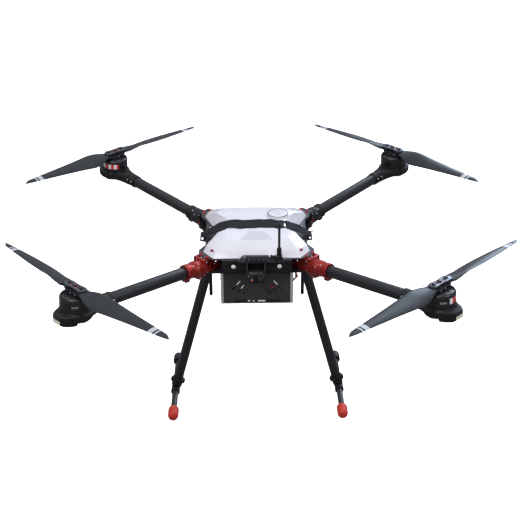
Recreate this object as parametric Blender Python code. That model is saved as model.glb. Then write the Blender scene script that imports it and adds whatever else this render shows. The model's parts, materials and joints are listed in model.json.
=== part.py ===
"""A folding four-rotor carrier drone, in metres, +Z up.

The origin is on the ground under the middle of the airframe. The nose points along -Y.
Each arm is built in a frame of its own: origin on its fold pin, +X outwards along the arm,
+Z square to the arm. The rotor frame stands on the motor axis, in the arm's frame.
"""

import math

import bmesh
import bpy
from mathutils import Euler, Matrix, Vector

# ---------------------------------------------------------------- driving dimensions
MOTOR_RADIUS = 0.5643       # rotor axis to airframe centre, at the propeller plane
PROP_PLANE_Z = 0.5320       # height of the propeller plane
DIHEDRAL = math.radians(5.3)  # arms rise outwards
FOLD_RADIUS = 0.203         # joint plane to airframe centre
PROP_LIFT = 0.055           # propeller plane above the arm axis
PIN_DROP = 0.025            # fold pin below the arm axis
TUBE_R = 0.015
PROP_TIP_R = 0.305
BLADE_PIVOT = 0.022         # blade bolt to rotor axis

GAP = 0.0003                # between touching pieces
RUN = 0.0005                # between turning pieces

CORNERS = {"fl": 225, "fr": 315, "rl": 135, "rr": 45}
SPIN_UP_SIDE = {"fl": 1, "fr": -1, "rl": -1, "rr": 1}       # 1: turns anticlockwise from above
ROTOR_AZIMUTH = {"fl": 133.8, "fr": 43.4, "rl": 43.6, "rr": 133.4}
BLADE_SWING = {"fl": 2.6, "fr": 0.0, "rl": 0.7, "rr": -2.1}   # each blade off its hub's line

PLATE_T = 0.002
DECK_Z = 0.4300             # underside of the bottom plate
TOP_PLATE_Z = DECK_Z + 0.0370  # underside of the top plate
PLATE_CORNER_R = 0.187      # corner chamfer to airframe centre
PLATE_CHAMFER = 0.029       # length of the chamfer
FRONT_Y = -0.149            # front edge of the plates
WAIST_X = 0.128             # half width of the plates at the waist

BOX_X = 0.090
BOX_Y = (-0.1355, 0.120)
BOX_Z = (0.3370, DECK_Z - 0.0007)
BOX_EDGE = 0.007            # width of the metal edge round each end panel

LEG_TOP = Vector((0.1115, 0.0, DECK_Z - 0.0115))
LEG_FOOT = Vector((0.2225, -0.028, 0.014))
LEG_R = 0.0125
SKID_R = 0.008
FOOT_R = 0.014
SKID_Y = (-0.134, 0.1335)

STRAP_Y = (-0.045, 0.004)
RAIL_Y = (FRONT_Y - 0.0148, FRONT_Y - 0.0078)
CAMERA_AXIS = Vector((-0.0025, -0.1835, DECK_Z + 0.0100))
CAMERA_HALF = 0.0185        # half width of the camera
WHIP_PIVOT = Vector((0.054, -0.1605, DECK_Z + 0.0545))
LEAD_Y, LEAD_Z = -0.095, DECK_Z - 0.0500  # where the leads leave the box
CANOPY_RIM_Z = TOP_PLATE_Z + PLATE_T + GAP
CANOPY_TOP_Z = DECK_Z + 0.0720

MOTOR_X = (MOTOR_RADIUS - FOLD_RADIUS + PROP_LIFT * math.sin(DIHEDRAL)) / math.cos(DIHEDRAL)
ARM_AXIS_Z = PROP_PLANE_Z - MOTOR_X * math.sin(DIHEDRAL) - PROP_LIFT * math.cos(DIHEDRAL)


# ---------------------------------------------------------------- helpers
def clear_scene():
    for old in list(bpy.data.objects):
        bpy.data.objects.remove(old, do_unlink=True)


def material(name, colour, roughness, metallic=0.0):
    made = bpy.data.materials.new(name)
    made.use_nodes = True
    shader = made.node_tree.nodes["Principled BSDF"]
    shader.inputs["Base Color"].default_value = (*colour, 1)
    shader.inputs["Roughness"].default_value = roughness
    shader.inputs["Metallic"].default_value = metallic
    made.diffuse_color = (*colour, 1)
    return made


def closed_mesh(bm):
    """The bmesh as mesh data, with every face pointing out and round faces smooth."""
    bmesh.ops.recalc_face_normals(bm, faces=bm.faces)
    data = bpy.data.meshes.new("shape")
    bm.to_mesh(data)
    bm.free()
    data.shade_smooth()
    data.set_sharp_from_angle(angle=math.radians(35))
    return data


def block(low, high, bevel=0.0):
    """A box between two corners, with its edges bevelled if asked."""
    bm = bmesh.new()
    bmesh.ops.create_cube(bm, size=1)
    low, high = Vector(low), Vector(high)
    size = high - low
    bmesh.ops.scale(bm, verts=bm.verts, vec=size)
    bmesh.ops.translate(bm, verts=bm.verts, vec=(low + high) / 2)
    if bevel:
        bmesh.ops.bevel(bm, geom=bm.edges[:], offset=bevel, segments=1, affect="EDGES")
    return closed_mesh(bm)


def loft(rings):
    """A solid through rings of points, with its two ends capped."""
    bm = bmesh.new()
    made = [[bm.verts.new(point) for point in ring] for ring in rings]
    count = len(made[0])
    for near, far in zip(made, made[1:]):
        for i in range(count):
            j = (i + 1) % count
            bm.faces.new((near[i], near[j], far[j], far[i]))
    bm.faces.new(made[0][::-1])
    bm.faces.new(made[-1])
    return closed_mesh(bm)


def prism(outline, start, end, axis="Z"):
    """An outline of (u, v) points extruded along an axis. u, v are the other two axes in order."""
    place = {
        "X": lambda u, v, w: (w, u, v),
        "Y": lambda u, v, w: (u, w, v),
        "Z": lambda u, v, w: (u, v, w),
    }[axis]
    return loft([[place(u, v, w) for u, v in outline] for w in (start, end)])


def turned(profile, sides, axis="Z", centre=(0, 0, 0)):
    """A closed (radius, height) profile turned about an axis. A radius of 0 makes one point."""
    place = {
        "X": lambda x, y, z: Vector((z, x, y)),
        "Y": lambda x, y, z: Vector((y, z, x)),
        "Z": lambda x, y, z: Vector((x, y, z)),
    }[axis]
    bm = bmesh.new()
    rings = []
    for radius, height in profile:
        turns = 1 if radius == 0 else sides
        ring = []
        for i in range(turns):
            angle = math.tau * (i + 0.5) / sides
            point = place(radius * math.cos(angle), radius * math.sin(angle), height)
            ring.append(bm.verts.new(point + Vector(centre)))
        rings.append(ring)
    for near, far in zip(rings, rings[1:] + rings[:1]):
        if len(near) == 1 and len(far) == 1:
            continue
        for i in range(sides):
            j = (i + 1) % sides
            corners = [near[i % len(near)], near[j % len(near)], far[j % len(far)], far[i % len(far)]]
            bm.faces.new(list(dict.fromkeys(corners)))
    return closed_mesh(bm)


def rod(start, end, radius, sides=12):
    """A round bar between two points."""
    start, end = Vector(start), Vector(end)
    data = turned([(0, 0), (radius, 0), (radius, 1), (0, 1)], sides)
    turn = (end - start).to_track_quat("Z", "Y").to_matrix().to_4x4()
    stretch = Matrix.Diagonal((1, 1, (end - start).length, 1))
    data.transform(Matrix.Translation(start) @ turn @ stretch)
    return data


def ring(inner, outer, start, end, sides, axis="X", centre=(0, 0, 0)):
    """A plain bush."""
    return turned([(inner, start), (outer, start), (outer, end), (inner, end)], sides, axis, centre)


def combined(base, joined=(), cut=()):
    """The mesh of base with other meshes joined to it, and then others cut from it."""
    whole = bpy.data.objects.new("combined", base)
    bpy.context.scene.collection.objects.link(whole)
    helpers = []
    for operation, meshes in (("UNION", joined), ("DIFFERENCE", cut)):
        for mesh in meshes:
            helper = bpy.data.objects.new("helper", mesh)
            helper.hide_render = True
            helper.display_type = "WIRE"
            bpy.context.scene.collection.objects.link(helper)
            helpers.append(helper)
            step = whole.modifiers.new("shape", "BOOLEAN")
            step.operation = operation
            step.solver = "EXACT"
            step.object = helper
    graph = bpy.context.evaluated_depsgraph_get()
    data = bpy.data.meshes.new_from_object(whole.evaluated_get(graph))
    for used in [whole, *helpers]:
        bpy.data.objects.remove(used, do_unlink=True)
    data.shade_smooth()
    data.set_sharp_from_angle(angle=math.radians(35))
    return data


def moved(data, matrix):
    """A copy of a mesh, moved."""
    copy = data.copy()
    copy.transform(matrix)
    return copy


def piece(name, data, finish, parent=None, location=(0, 0, 0), turn=(0, 0, 0)):
    """A named object for one sub-part."""
    made = bpy.data.objects.new(name, data)
    data.materials.clear()
    data.materials.append(finish)
    made.location = location
    made.rotation_euler = turn
    made.parent = parent
    bpy.context.scene.collection.objects.link(made)
    return made


def frame_empty(name, location, turn, parent=None):
    empty = bpy.data.objects.new(name, None)
    empty.empty_display_size = 0.03
    empty.location = location
    empty.rotation_euler = turn
    empty.parent = parent
    bpy.context.scene.collection.objects.link(empty)
    return empty


def mirrored(outline):
    """The outline of one side, closed with its mirror image across u = 0."""
    return list(outline) + [(-u, v) for u, v in reversed(outline)]


# ---------------------------------------------------------------- arm pieces, in the arm's frame
SLEEVE_END = 0.047
CLAMP_START = MOTOR_X - 0.098
COLLAR_X = (0.007, 0.019)
EAR_R = 0.0042
FOLD_PIN_R = 0.0022
TONGUE_Y = 0.0050


def arm_tube():
    return ring(
        TUBE_R - 0.0015, TUBE_R, 0.006, MOTOR_X - 0.034, 16, "X", (0, 0, PIN_DROP)
    )


def fold_sleeve():
    """The socket that holds the tube's inner end and hinges on the fold pin by its tongue."""
    bore = TUBE_R + GAP
    groove = 0.0176
    profile = [
        (bore, RUN), (0.0210, RUN), (0.0210, COLLAR_X[0] - RUN), (groove, COLLAR_X[0] - RUN),
        (groove, COLLAR_X[1] + RUN), (0.0195, COLLAR_X[1] + RUN), (0.0195, 0.044),
        (0.0180, SLEEVE_END), (bore, SLEEVE_END),
    ]
    body = turned(profile, 16, "X", (0, 0, PIN_DROP))
    knuckle = turned(
        [(0, -TONGUE_Y), (EAR_R, -TONGUE_Y), (EAR_R, TONGUE_Y), (0, TONGUE_Y)], 12, "Y"
    )
    web = block((RUN, -TONGUE_Y, -0.002), (COLLAR_X[0] - RUN, TONGUE_Y, 0.0075))
    hole_r = FOLD_PIN_R + GAP
    hole = turned([(0, -0.01), (hole_r, -0.01), (hole_r, 0.01), (0, 0.01)], 12, "Y")
    return combined(body, [web, knuckle], [hole])


def lock_collar():
    """The ring that is turned by hand to lock the arm out."""
    low, high = COLLAR_X
    profile = [(0.0180, low), (0.0200, low), (0.0212, low + 0.0015), (0.0212, high - 0.0015),
               (0.0200, high), (0.0180, high)]
    return turned(profile, 16, "X", (0, 0, PIN_DROP))


def fold_bracket():
    """The fixed half of the fold joint: a cage between the plates, a face plate and two ears.

    The cage is level and the face plate is square to the arm, so the cage is made level here.
    """
    level = Matrix.Rotation(DIHEDRAL, 4, "Y")
    drop = Vector((0, 0, DECK_Z + PLATE_T + GAP - pin_height()))
    height = TOP_PLATE_Z - DECK_Z - PLATE_T - 2 * GAP
    inner, outer, half, wall = -0.068, -0.007, 0.021, 0.0032
    cage = block(drop + Vector((inner, -half, 0)), drop + Vector((outer, half, height)))
    hollow = block(
        drop + Vector((inner - 0.01, wall - half, wall)),
        drop + Vector((outer - 0.006, half - wall, height - wall)),
    )
    base, top = drop.z + wall + 0.002, drop.z + height - wall - 0.002
    windows = []
    for left, right, tip in ((-0.062, -0.042, base), (-0.038, -0.018, top)):
        foot = top if tip == base else base
        outline = [(left, foot), (right, foot), ((left + right) / 2, tip)]
        windows.append(prism(outline, -0.03, 0.03, "Y"))
    cage = moved(combined(cage, [], [hollow, *windows]), level)

    face = turned([(0, -0.009), (0.0225, -0.009), (0.0225, -GAP), (0, -GAP)], 16, "X", (0, 0, PIN_DROP))
    chin = block((-0.009, -0.0093, -EAR_R), (-GAP, 0.0093, 0.012))
    notch = block((-0.012, -TONGUE_Y - GAP, -0.010), (0.010, TONGUE_Y + GAP, EAR_R + GAP))
    ears = turned([(0, -0.0093), (EAR_R, -0.0093), (EAR_R, 0.0093), (0, 0.0093)], 12, "Y")
    hinge = combined(face, [chin, ears], [notch])
    pin = turned([(0, -0.0105), (FOLD_PIN_R, -0.0105), (FOLD_PIN_R, 0.0105), (0, 0.0105)], 12, "Y")
    bore = turned([(0, -0.02), (0.0140, -0.02), (0.0140, 0.01), (0, 0.01)], 12, "X", (0, 0, PIN_DROP))
    return combined(cage, [hinge, pin], [bore])


def motor_mount():
    """The clamp on the tube's end, the electronics bowl under the motor, and the fixed stator."""
    stator_z = PROP_LIFT - 0.0195
    bowl_profile = [
        (0, -0.019), (0.020, -0.019), (0.032, -0.013), (0.0385, -0.002), (0.0390, 0.008),
        (0.0370, 0.0165), (0.0300, 0.0165), (0.0300, stator_z), (0.0045, stator_z), (0.0045, 0.0220),
        (0, 0.0220),
    ]
    bowl = turned(bowl_profile, 20, "Z", (MOTOR_X, 0, PIN_DROP))
    clamp = turned(
        [(0, CLAMP_START), (0.0168, CLAMP_START), (0.0178, CLAMP_START + 0.003),
         (0.0178, MOTOR_X - 0.041), (0.0162, MOTOR_X - 0.038), (0.0162, MOTOR_X - 0.025),
         (0, MOTOR_X - 0.025)],
        16, "X", (0, 0, PIN_DROP),
    )
    bore_r = TUBE_R + GAP
    bore = turned(
        [(0, CLAMP_START - 0.01), (bore_r, CLAMP_START - 0.01), (bore_r, MOTOR_X - 0.0337),
         (0, MOTOR_X - 0.0337)],
        16, "X", (0, 0, PIN_DROP),
    )
    return combined(bowl, [clamp], [bore])


# ---------------------------------------------------------------- rotor pieces, in the rotor's frame
BELL_R = 0.036
BELL_Z = (-0.0375, -0.0150)
HUB_T = 0.0030
HUB_GAP_Z = 0.0042
HUB_W = 0.0120
BOLT_R = 0.0030
ROOT_CHORD, MOST_CHORD, TIP_CHORD = 0.0215, 0.049, 0.023
BLADE_WIDEST = 0.27         # share of the blade's length
PROP_ADVANCE = 0.205        # how far the propeller screws forwards in one turn


def motor_bell():
    """The turning can of the motor, open below, with its shaft."""
    low, high = BELL_Z
    profile = [
        (BELL_R, low), (BELL_R, high + 0.001), (0.0330, high + 0.004), (0.0130, high + 0.004),
        (0, high + 0.004), (0, -0.0325), (0.0040, -0.0325), (0.0040, high - 0.003),
        (0.0330, high - 0.003), (0.0335, low),
    ]
    return turned(profile, 20)


def stadium(half_length, half_width, steps=4):
    """A rounded bar's outline."""
    outline = []
    for side in (0, math.pi):
        for i in range(steps + 1):
            angle = side - math.pi / 2 + math.pi * i / steps
            offset = (half_length - half_width) * math.cos(side)
            outline.append((offset + half_width * math.cos(angle), half_width * math.sin(angle)))
    return outline


def prop_hub():
    """Two plates that hold the blades between them, with the blade bolts and a centre post."""
    bar = stadium(BLADE_PIVOT + HUB_W, HUB_W)
    lower = prism(bar, -HUB_GAP_Z - HUB_T, -HUB_GAP_Z)
    upper = prism(bar, HUB_GAP_Z, HUB_GAP_Z + HUB_T)
    foot_z = BELL_Z[1] + 0.004 + RUN / 2
    post = turned([(0, foot_z), (0.0085, foot_z), (0.0085, 0.0110), (0, 0.0110)], 8)
    bolts = []
    for side in (-1, 1):
        centre = (side * BLADE_PIVOT, 0, 0)
        profile = [(0, -0.0068), (BOLT_R, -0.0068), (BOLT_R, HUB_GAP_Z + HUB_T),
                   (0.0050, HUB_GAP_Z + HUB_T), (0.0050, 0.0110), (0, 0.0110)]
        bolts.append(turned(profile, 8, "Z", centre))
    return combined(lower, [post, upper, *bolts])


def blade_chord(radius):
    """Chord against distance from the rotor axis: widest three tenths of the way out."""
    t = (radius - BLADE_PIVOT) / (PROP_TIP_R - BLADE_PIVOT)
    if t < BLADE_WIDEST:
        return ROOT_CHORD + (MOST_CHORD - ROOT_CHORD) * math.sin(t / BLADE_WIDEST * math.pi / 2) ** 1.5
    return MOST_CHORD - (MOST_CHORD - TIP_CHORD) * ((t - BLADE_WIDEST) / (1 - BLADE_WIDEST)) ** 1.1


def blade_section(radius, side):
    """Points of the blade's cross-section, in the blade's frame, leading edge on the +Y side.

    The pitch follows a helix: every part of the blade screws forwards as far in one turn.
    """
    t = (radius - BLADE_PIVOT) / (PROP_TIP_R - BLADE_PIVOT)
    grow = min(1.0, max(0.0, (t - 0.05) / 0.17))
    rounding = max(0.0, (t - 0.95) / 0.05)
    chord = blade_chord(radius) * (1 - 0.55 * rounding ** 2)
    pitch = grow * math.atan(PROP_ADVANCE / (math.tau * radius))
    thick = 0.0072 * (1 - grow) + (0.0062 - 0.0042 * t) * grow
    camber = 0.045 * chord * grow
    ahead = 0.5 - 0.10 * grow
    points = []
    steps = 5
    for surface in (1, -1):
        for i in range(steps):
            u = (1 - math.cos(math.pi * i / steps)) / 2
            if surface < 0:
                u = 1 - u
            y = chord * (ahead - u)
            belly = math.sqrt(max(0.0, 1 - (2 * u - 1) ** 2))
            z = surface * thick / 2 * max(0.12, belly) + camber * (1 - (2 * u - 1) ** 2)
            turned_y = y * math.cos(pitch) - z * math.sin(pitch)
            turned_z = y * math.sin(pitch) + z * math.cos(pitch)
            points.append((radius - BLADE_PIVOT, side * turned_y, turned_z))
    return points


def blade(side):
    """A folding blade, with its bolt hole at the origin and its length along +X."""
    stations = [0.034, 0.047, 0.062, 0.085, 0.120, 0.180, 0.245, 0.293, PROP_TIP_R]
    wing = loft([blade_section(radius, side) for radius in stations])
    root = turned([(0, -0.0037), (0.0112, -0.0037), (0.0112, 0.0037), (0, 0.0037)], 12)
    neck = block((0, -0.0106, -0.0037), (0.0125, 0.0106, 0.0037))
    hole_r = BOLT_R + GAP
    hole = turned([(0, -0.01), (hole_r, -0.01), (hole_r, 0.01), (0, 0.01)], 8)
    return combined(wing, [neck, root], [hole])


# ---------------------------------------------------------------- airframe pieces
def pin_height():
    return ARM_AXIS_Z - PIN_DROP * math.cos(DIHEDRAL)


def plate_outline(ear=False):
    """One plate: square-cut corners at the arms, a narrower waist and a tab under the nose beam."""
    wide = (PLATE_CORNER_R + PLATE_CHAMFER / 2) / math.sqrt(2)
    slim = (PLATE_CORNER_R - PLATE_CHAMFER / 2) / math.sqrt(2)
    side = [(0.109, FRONT_Y), (0.114, -wide), (slim, -wide), (wide, -slim), (wide, -0.095),
            (WAIST_X, -0.070)]
    if ear:
        side += [(WAIST_X, STRAP_Y[0] - 0.004), (0.142, STRAP_Y[0]), (0.142, STRAP_Y[1]),
                 (WAIST_X, STRAP_Y[1] + 0.004)]
    side += [(WAIST_X, 0.070), (wide, 0.095), (wide, slim), (slim, wide)]
    return mirrored(side)


def top_plate():
    """The upper carbon plate, with a slotted ear on each side for the strap."""
    body = prism(plate_outline(ear=True), TOP_PLATE_Z, TOP_PLATE_Z + PLATE_T)
    slots = [
        block((min(s * 0.1340, s * 0.1385), STRAP_Y[0] + 0.003, TOP_PLATE_Z - 0.01),
              (max(s * 0.1340, s * 0.1385), STRAP_Y[1] - 0.003, TOP_PLATE_Z + 0.01))
        for s in (-1, 1)
    ]
    return combined(body, [], slots)


def bottom_plate():
    """The lower carbon plate, with four lightening holes beside the payload box."""
    body = prism(plate_outline(), DECK_Z, DECK_Z + PLATE_T)
    holes = [
        turned([(0, -0.01), (0.011, -0.01), (0.011, 0.01), (0, 0.01)], 12, "Z", (x, y, DECK_Z))
        for x in (-0.108, 0.108) for y in (-0.088, 0.088)
    ]
    return combined(body, [], holes)


def canopy_side(inset, y_inset):
    """Right-hand outline of the cover at some distance in from its rim, nose first."""
    outline = [(0.1065, -0.1450), (0.1320, -0.1070), (0.1020, -0.0450), (0.1020, 0.0120),
               (0.1330, 0.0950), (0.1310, 0.1120), (0.1120, 0.1330)]
    return [(x - inset, y + y_inset * (1 if y < -0.1 else -1 if y > 0.09 else 0)) for x, y in outline]


def canopy():
    """The faceted white cover: a thin shell, open below."""
    wall = 0.0016
    levels = [
        (0.0, 0.0, CANOPY_RIM_Z),
        (0.008, 0.013, CANOPY_RIM_Z + 0.0125),
        (0.030, 0.050, CANOPY_TOP_Z),
    ]
    outside = [(canopy_side(inset, y_inset), z) for inset, y_inset, z in levels]
    inside = [
        (canopy_side(inset + wall, y_inset + wall), z - (wall if z > CANOPY_RIM_Z else 0))
        for inset, y_inset, z in levels
    ]
    rings = outside[::-1] + inside
    return loft([[(x, y, z) for x, y in mirrored(side)] for side, z in rings])


def battery_strap():
    """A webbing band from ear to ear over the cover's waist."""
    lift = 0.0006
    top = CANOPY_TOP_Z + lift
    side = [(0.1395, DECK_Z + 0.0401), (0.1040, DECK_Z + 0.0577), (0.0730, top)]
    lower = [(-x, z) for x, z in side] + side[::-1]
    thick = 0.0020
    upper = [(x, z + thick) for x, z in lower]
    return prism(lower + upper[::-1], STRAP_Y[0], STRAP_Y[1], "Y")


def gps_puck():
    low = CANOPY_TOP_Z + GAP
    profile = [(0, low), (0.0270, low), (0.0275, low + 0.0015), (0.0265, low + 0.0045),
               (0.0250, low + 0.0055), (0, low + 0.0055)]
    return turned(profile, 24, "Z", (0.0565, 0.0345, 0))


def front_beam():
    low, high = DECK_Z + 0.0020, TOP_PLATE_Z + PLATE_T - 0.0003
    half = 0.085
    outline = [(-half, low + 0.006), (-half + 0.010, low), (half - 0.010, low), (half, low + 0.006),
               (half, high), (-half, high)]
    body = prism(outline, FRONT_Y - 0.0075, FRONT_Y - GAP, "Y")
    lamp_holes = [
        turned([(0, -0.005), (0.0064, -0.005), (0.0064, 0.005), (0, 0.005)], 16, "Y",
               (x, FRONT_Y - 0.0095, DECK_Z + 0.0230))
        for x in (-0.057, 0.055)
    ]
    return combined(body, [], lamp_holes)


def accessory_rail():
    """The bar on the nose with its row of holes, the camera's fork and the whip antenna's foot."""
    low, high = DECK_Z + 0.0365, DECK_Z + 0.0545
    stepped = [(-0.045, low), (0.066, low), (0.066, low + 0.010), (0.030, low + 0.010), (0.030, high),
               (-0.034, high), (-0.045, low + 0.004)]
    bar = prism(stepped, RAIL_Y[0], RAIL_Y[1], "Y")
    joined = [block((0.043, -0.1655, low + 0.005), (0.063, RAIL_Y[1], WHIP_PIVOT.z - 0.0052))]
    for side in (-1, 1):
        inner = WHIP_PIVOT.x + side * 0.0040
        outer = WHIP_PIVOT.x + side * 0.0068
        cheek_low = (min(inner, outer), -0.1650, low + 0.009)
        cheek_high = (max(inner, outer), RAIL_Y[1], WHIP_PIVOT.z + 0.0040)
        joined.append(block(cheek_low, cheek_high))
        near = CAMERA_AXIS.x + side * (CAMERA_HALF + 0.0015)
        far = CAMERA_AXIS.x + side * (CAMERA_HALF + 0.0045)
        front, drop, lift = CAMERA_AXIS.y - 0.006, CAMERA_AXIS.z - 0.006, CAMERA_AXIS.z + 0.006
        fork = [(-0.1655, drop + 0.012), (-0.1720, drop), (front, drop), (front, lift),
                (-0.1740, high - 0.005), (RAIL_Y[1], high - 0.005), (RAIL_Y[1], low)]
        joined.append(prism(fork, min(near, far), max(near, far), "X"))
    pin_half = Vector((0.0055, 0, 0))
    joined.append(rod(WHIP_PIVOT - pin_half, WHIP_PIVOT + pin_half, 0.0014, 8))
    reach = Vector((CAMERA_HALF + 0.01, 0, 0))
    cut = [rod(CAMERA_AXIS - reach, CAMERA_AXIS + reach, 0.0028, 12)]
    for x in (-0.028, -0.021):
        cut.append(rod((x, -0.18, low + 0.0065), (x, -0.14, low + 0.0065), 0.0016, 8))
    return combined(bar, joined, cut)


def camera():
    """The tilting twin-lens camera, on two stub pins. Its origin is on the tilt axis."""
    body = block((-CAMERA_HALF, -0.0115, -0.0150), (CAMERA_HALF, 0.0110, 0.0155), 0.002)
    joined = [rod((-CAMERA_HALF - 0.0035, 0, 0), (CAMERA_HALF + 0.0035, 0, 0), 0.0025, 12)]
    for x in (-0.0102, 0.0102):
        joined.append(rod((x, -0.0080, -0.001), (x, -0.0185, -0.001), 0.0078, 16))
    return combined(body, joined)


def antenna_whip():
    """The hinged whip. Its origin is on the hinge pin and it stands along +Z."""
    knuckle = turned([(0, -0.0036), (0.0043, -0.0036), (0.0043, 0.0036), (0, 0.0036)], 10, "X")
    profile = [(0, 0.001), (0.0034, 0.001), (0.0040, 0.006), (0.0040, 0.020), (0.0022, 0.0235)]
    for bead in range(3):
        z = 0.032 + bead * 0.016
        profile += [(0.0016, z), (0.0023, z + 0.0025), (0.0016, z + 0.005)]
    profile += [(0.0022, 0.0815), (0.0022, 0.0845), (0, 0.0845)]
    stem = turned(profile, 8)
    hole = turned([(0, -0.01), (0.0017, -0.01), (0.0017, 0.01), (0, 0.01)], 8, "X")
    return combined(knuckle, [stem], [hole])


def datalink_antenna():
    """A stick antenna that hangs down from its pivot, at the origin."""
    profile = [(0, -0.1100), (0.0025, -0.1095), (0.0045, -0.1065), (0.0045, -0.0200),
               (0.0040, -0.0180), (0.0040, 0.0040), (0, 0.0040)]
    return turned(profile, 12)


def box_tray():
    """The folded aluminium tray of the payload box: floor, two walls and turned-in edges."""
    sheet = 0.0016
    low, high = BOX_Z
    outline = [(BOX_X, low), (BOX_X, high), (BOX_X - sheet, high), (BOX_X - sheet, low + sheet),
               (-BOX_X + sheet, low + sheet), (-BOX_X + sheet, high), (-BOX_X, high), (-BOX_X, low)]
    body = prism(outline, BOX_Y[0], BOX_Y[1], "Y")
    edges = []
    for side in (-1, 1):
        for y in (BOX_Y[0], BOX_Y[1] - sheet):
            near, far = side * (BOX_X - BOX_EDGE), side * (BOX_X - sheet / 2)
            edges.append(block((min(near, far), y, low + sheet / 2), (max(near, far), y + sheet, high)))
    outlet = rod((BOX_X - 0.01, LEAD_Y, LEAD_Z), (BOX_X + 0.01, LEAD_Y, LEAD_Z), 0.0065, 12)
    return combined(body, edges, [outlet])


def end_panel(y):
    """A carbon end panel, with slanted slots fanned about its middle and a stepped lower edge."""
    half = BOX_X - BOX_EDGE - GAP
    low, high = BOX_Z[0] + 0.0022, BOX_Z[1] - 0.0010
    outline = mirrored([(0.034, low + 0.0035), (0.046, low), (half, low), (half, high),
                        (0.052, high), (0.046, high - 0.006), (0.036, high - 0.006), (0.030, high)])
    body = prism(outline, y, y + 0.0020, "Y")
    slots = []
    middle_z = (low + high) / 2 + 0.004
    for side in (-1, 1):
        for x, z, tilt in ((0.028, -0.016, 40), (0.046, -0.004, 48), (0.056, 0.016, 35), (0.064, -0.020, 55)):
            slot = block((-0.0065, y - 0.01, -0.0013), (0.0065, y + 0.01, 0.0013))
            turn = Euler((0, -side * math.radians(tilt), 0)).to_matrix().to_4x4()
            place = Matrix.Translation((side * x, 0, middle_z + z))
            slot.transform(place @ turn)
            slots.append(slot)
    return combined(body, [], slots)


def battery():
    """The pack inside the box, with the bundle of leads that runs up the outside to the frame."""
    low = BOX_Z[0] + 0.0016 + GAP
    body = block((-0.074, -0.118, low), (0.074, 0.102, low + 0.062), 0.004)
    route = [
        Vector((0.0700, LEAD_Y, LEAD_Z)),
        Vector((0.0945, LEAD_Y, LEAD_Z)),
        Vector((0.0985, LEAD_Y - 0.002, LEAD_Z + 0.006)),
        Vector((0.0995, LEAD_Y - 0.005, LEAD_Z + 0.016)),
        Vector((0.0990, LEAD_Y - 0.006, LEAD_Z + 0.034)),
        Vector((0.0980, LEAD_Y - 0.004, DECK_Z - 0.0015)),
    ]
    lead_r, around = 0.0040, 10
    rings = []
    for i, point in enumerate(route):
        ahead = route[min(i + 1, len(route) - 1)] - route[max(i - 1, 0)]
        across = ahead.cross(Vector((0, 1, 0))).normalized()
        other = ahead.cross(across).normalized()
        angles = [math.tau * k / around for k in range(around)]
        rings.append([point + lead_r * (math.cos(a) * across + math.sin(a) * other) for a in angles])
    return combined(body, [loft(rings)])


def flight_controller():
    low = CANOPY_RIM_Z
    body = block((-0.026, 0.012, low), (0.026, 0.086, low + 0.018), 0.002)
    plugs = [
        block((x, 0.084, low + 0.003), (x + 0.010, 0.090, low + 0.010))
        for x in (-0.020, -0.005, 0.010)
    ]
    return combined(body, plugs)


# ---------------------------------------------------------------- landing gear
def leg(side):
    """A splayed tube with the block that bolts it under the bottom plate."""
    top, foot = Vector(LEG_TOP), Vector(LEG_FOOT)
    top.x *= side
    foot.x *= side
    along = (foot - top).normalized()
    length = (foot - top).length - 0.020
    tube = turned([(0.0110, -0.004), (LEG_R, -0.004), (LEG_R, length), (0.0110, length)], 16)
    tube.transform(Matrix.Translation(top) @ along.to_track_quat("Z", "Y").to_matrix().to_4x4())
    high = DECK_Z - GAP
    block_top = block((top.x - 0.019, -0.021, top.z - 0.009), (top.x + 0.019, 0.021, high), 0.002)
    trim = block((top.x - 0.05, -0.05, high), (top.x + 0.05, 0.05, high + 0.05))
    return combined(block_top, [tube], [trim])


def leg_tee(side):
    """The coupler that joins a leg to its skid."""
    foot = Vector((side * LEG_FOOT.x, LEG_FOOT.y, LEG_FOOT.z))
    up = (Vector((side * LEG_TOP.x, LEG_TOP.y, LEG_TOP.z)) - foot).normalized()
    turn = up.to_track_quat("Z", "Y").to_matrix().to_4x4()
    collar = turned(
        [(0, 0), (0.0120, 0), (0.0150, 0.012), (0.0150, 0.026), (0.0165, 0.027), (0.0165, 0.033), (0, 0.033)],
        16,
    )
    collar.transform(Matrix.Translation(foot) @ turn)
    saddle = turned([(0, -0.023), (0.0115, -0.023), (0.0115, 0.023), (0, 0.023)], 16, "Y", foot)
    leg_r = LEG_R + GAP
    socket = turned([(0, 0.0195), (leg_r, 0.0195), (leg_r, 0.06), (0, 0.06)], 16)
    socket.transform(Matrix.Translation(foot) @ turn)
    skid_r = SKID_R + GAP
    through = turned([(0, -0.03), (skid_r, -0.03), (skid_r, 0.03), (0, 0.03)], 16, "Y", foot)
    return combined(collar, [saddle], [socket, through])


def skid(side):
    """A ground tube with its rounded rear end cap."""
    centre = (side * LEG_FOOT.x, 0, LEG_FOOT.z)
    front, rear = SKID_Y
    profile = [(0.0065, front), (SKID_R, front), (SKID_R, rear - 0.034), (FOOT_R - 0.001, rear - 0.034),
               (FOOT_R, rear - 0.030), (FOOT_R, rear - 0.008), (0.0100, rear - 0.001), (0, rear),
               (0, rear - 0.004), (0.0065, rear - 0.004)]
    return turned(profile, 16, "Y", centre)


def foot_cap(side):
    """The rubber boot on a skid's front end."""
    centre = (side * LEG_FOOT.x, 0, LEG_FOOT.z)
    front = SKID_Y[0] - 0.033
    bore = SKID_R + GAP
    profile = [(0, front), (0.0095, front + 0.001), (0.0130, front + 0.006), (FOOT_R, front + 0.012),
               (FOOT_R, front + 0.034), (0.0128, front + 0.040), (bore, front + 0.040),
               (bore, SKID_Y[0] - GAP), (0, SKID_Y[0] - GAP)]
    return turned(profile, 16, "Y", centre)


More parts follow.
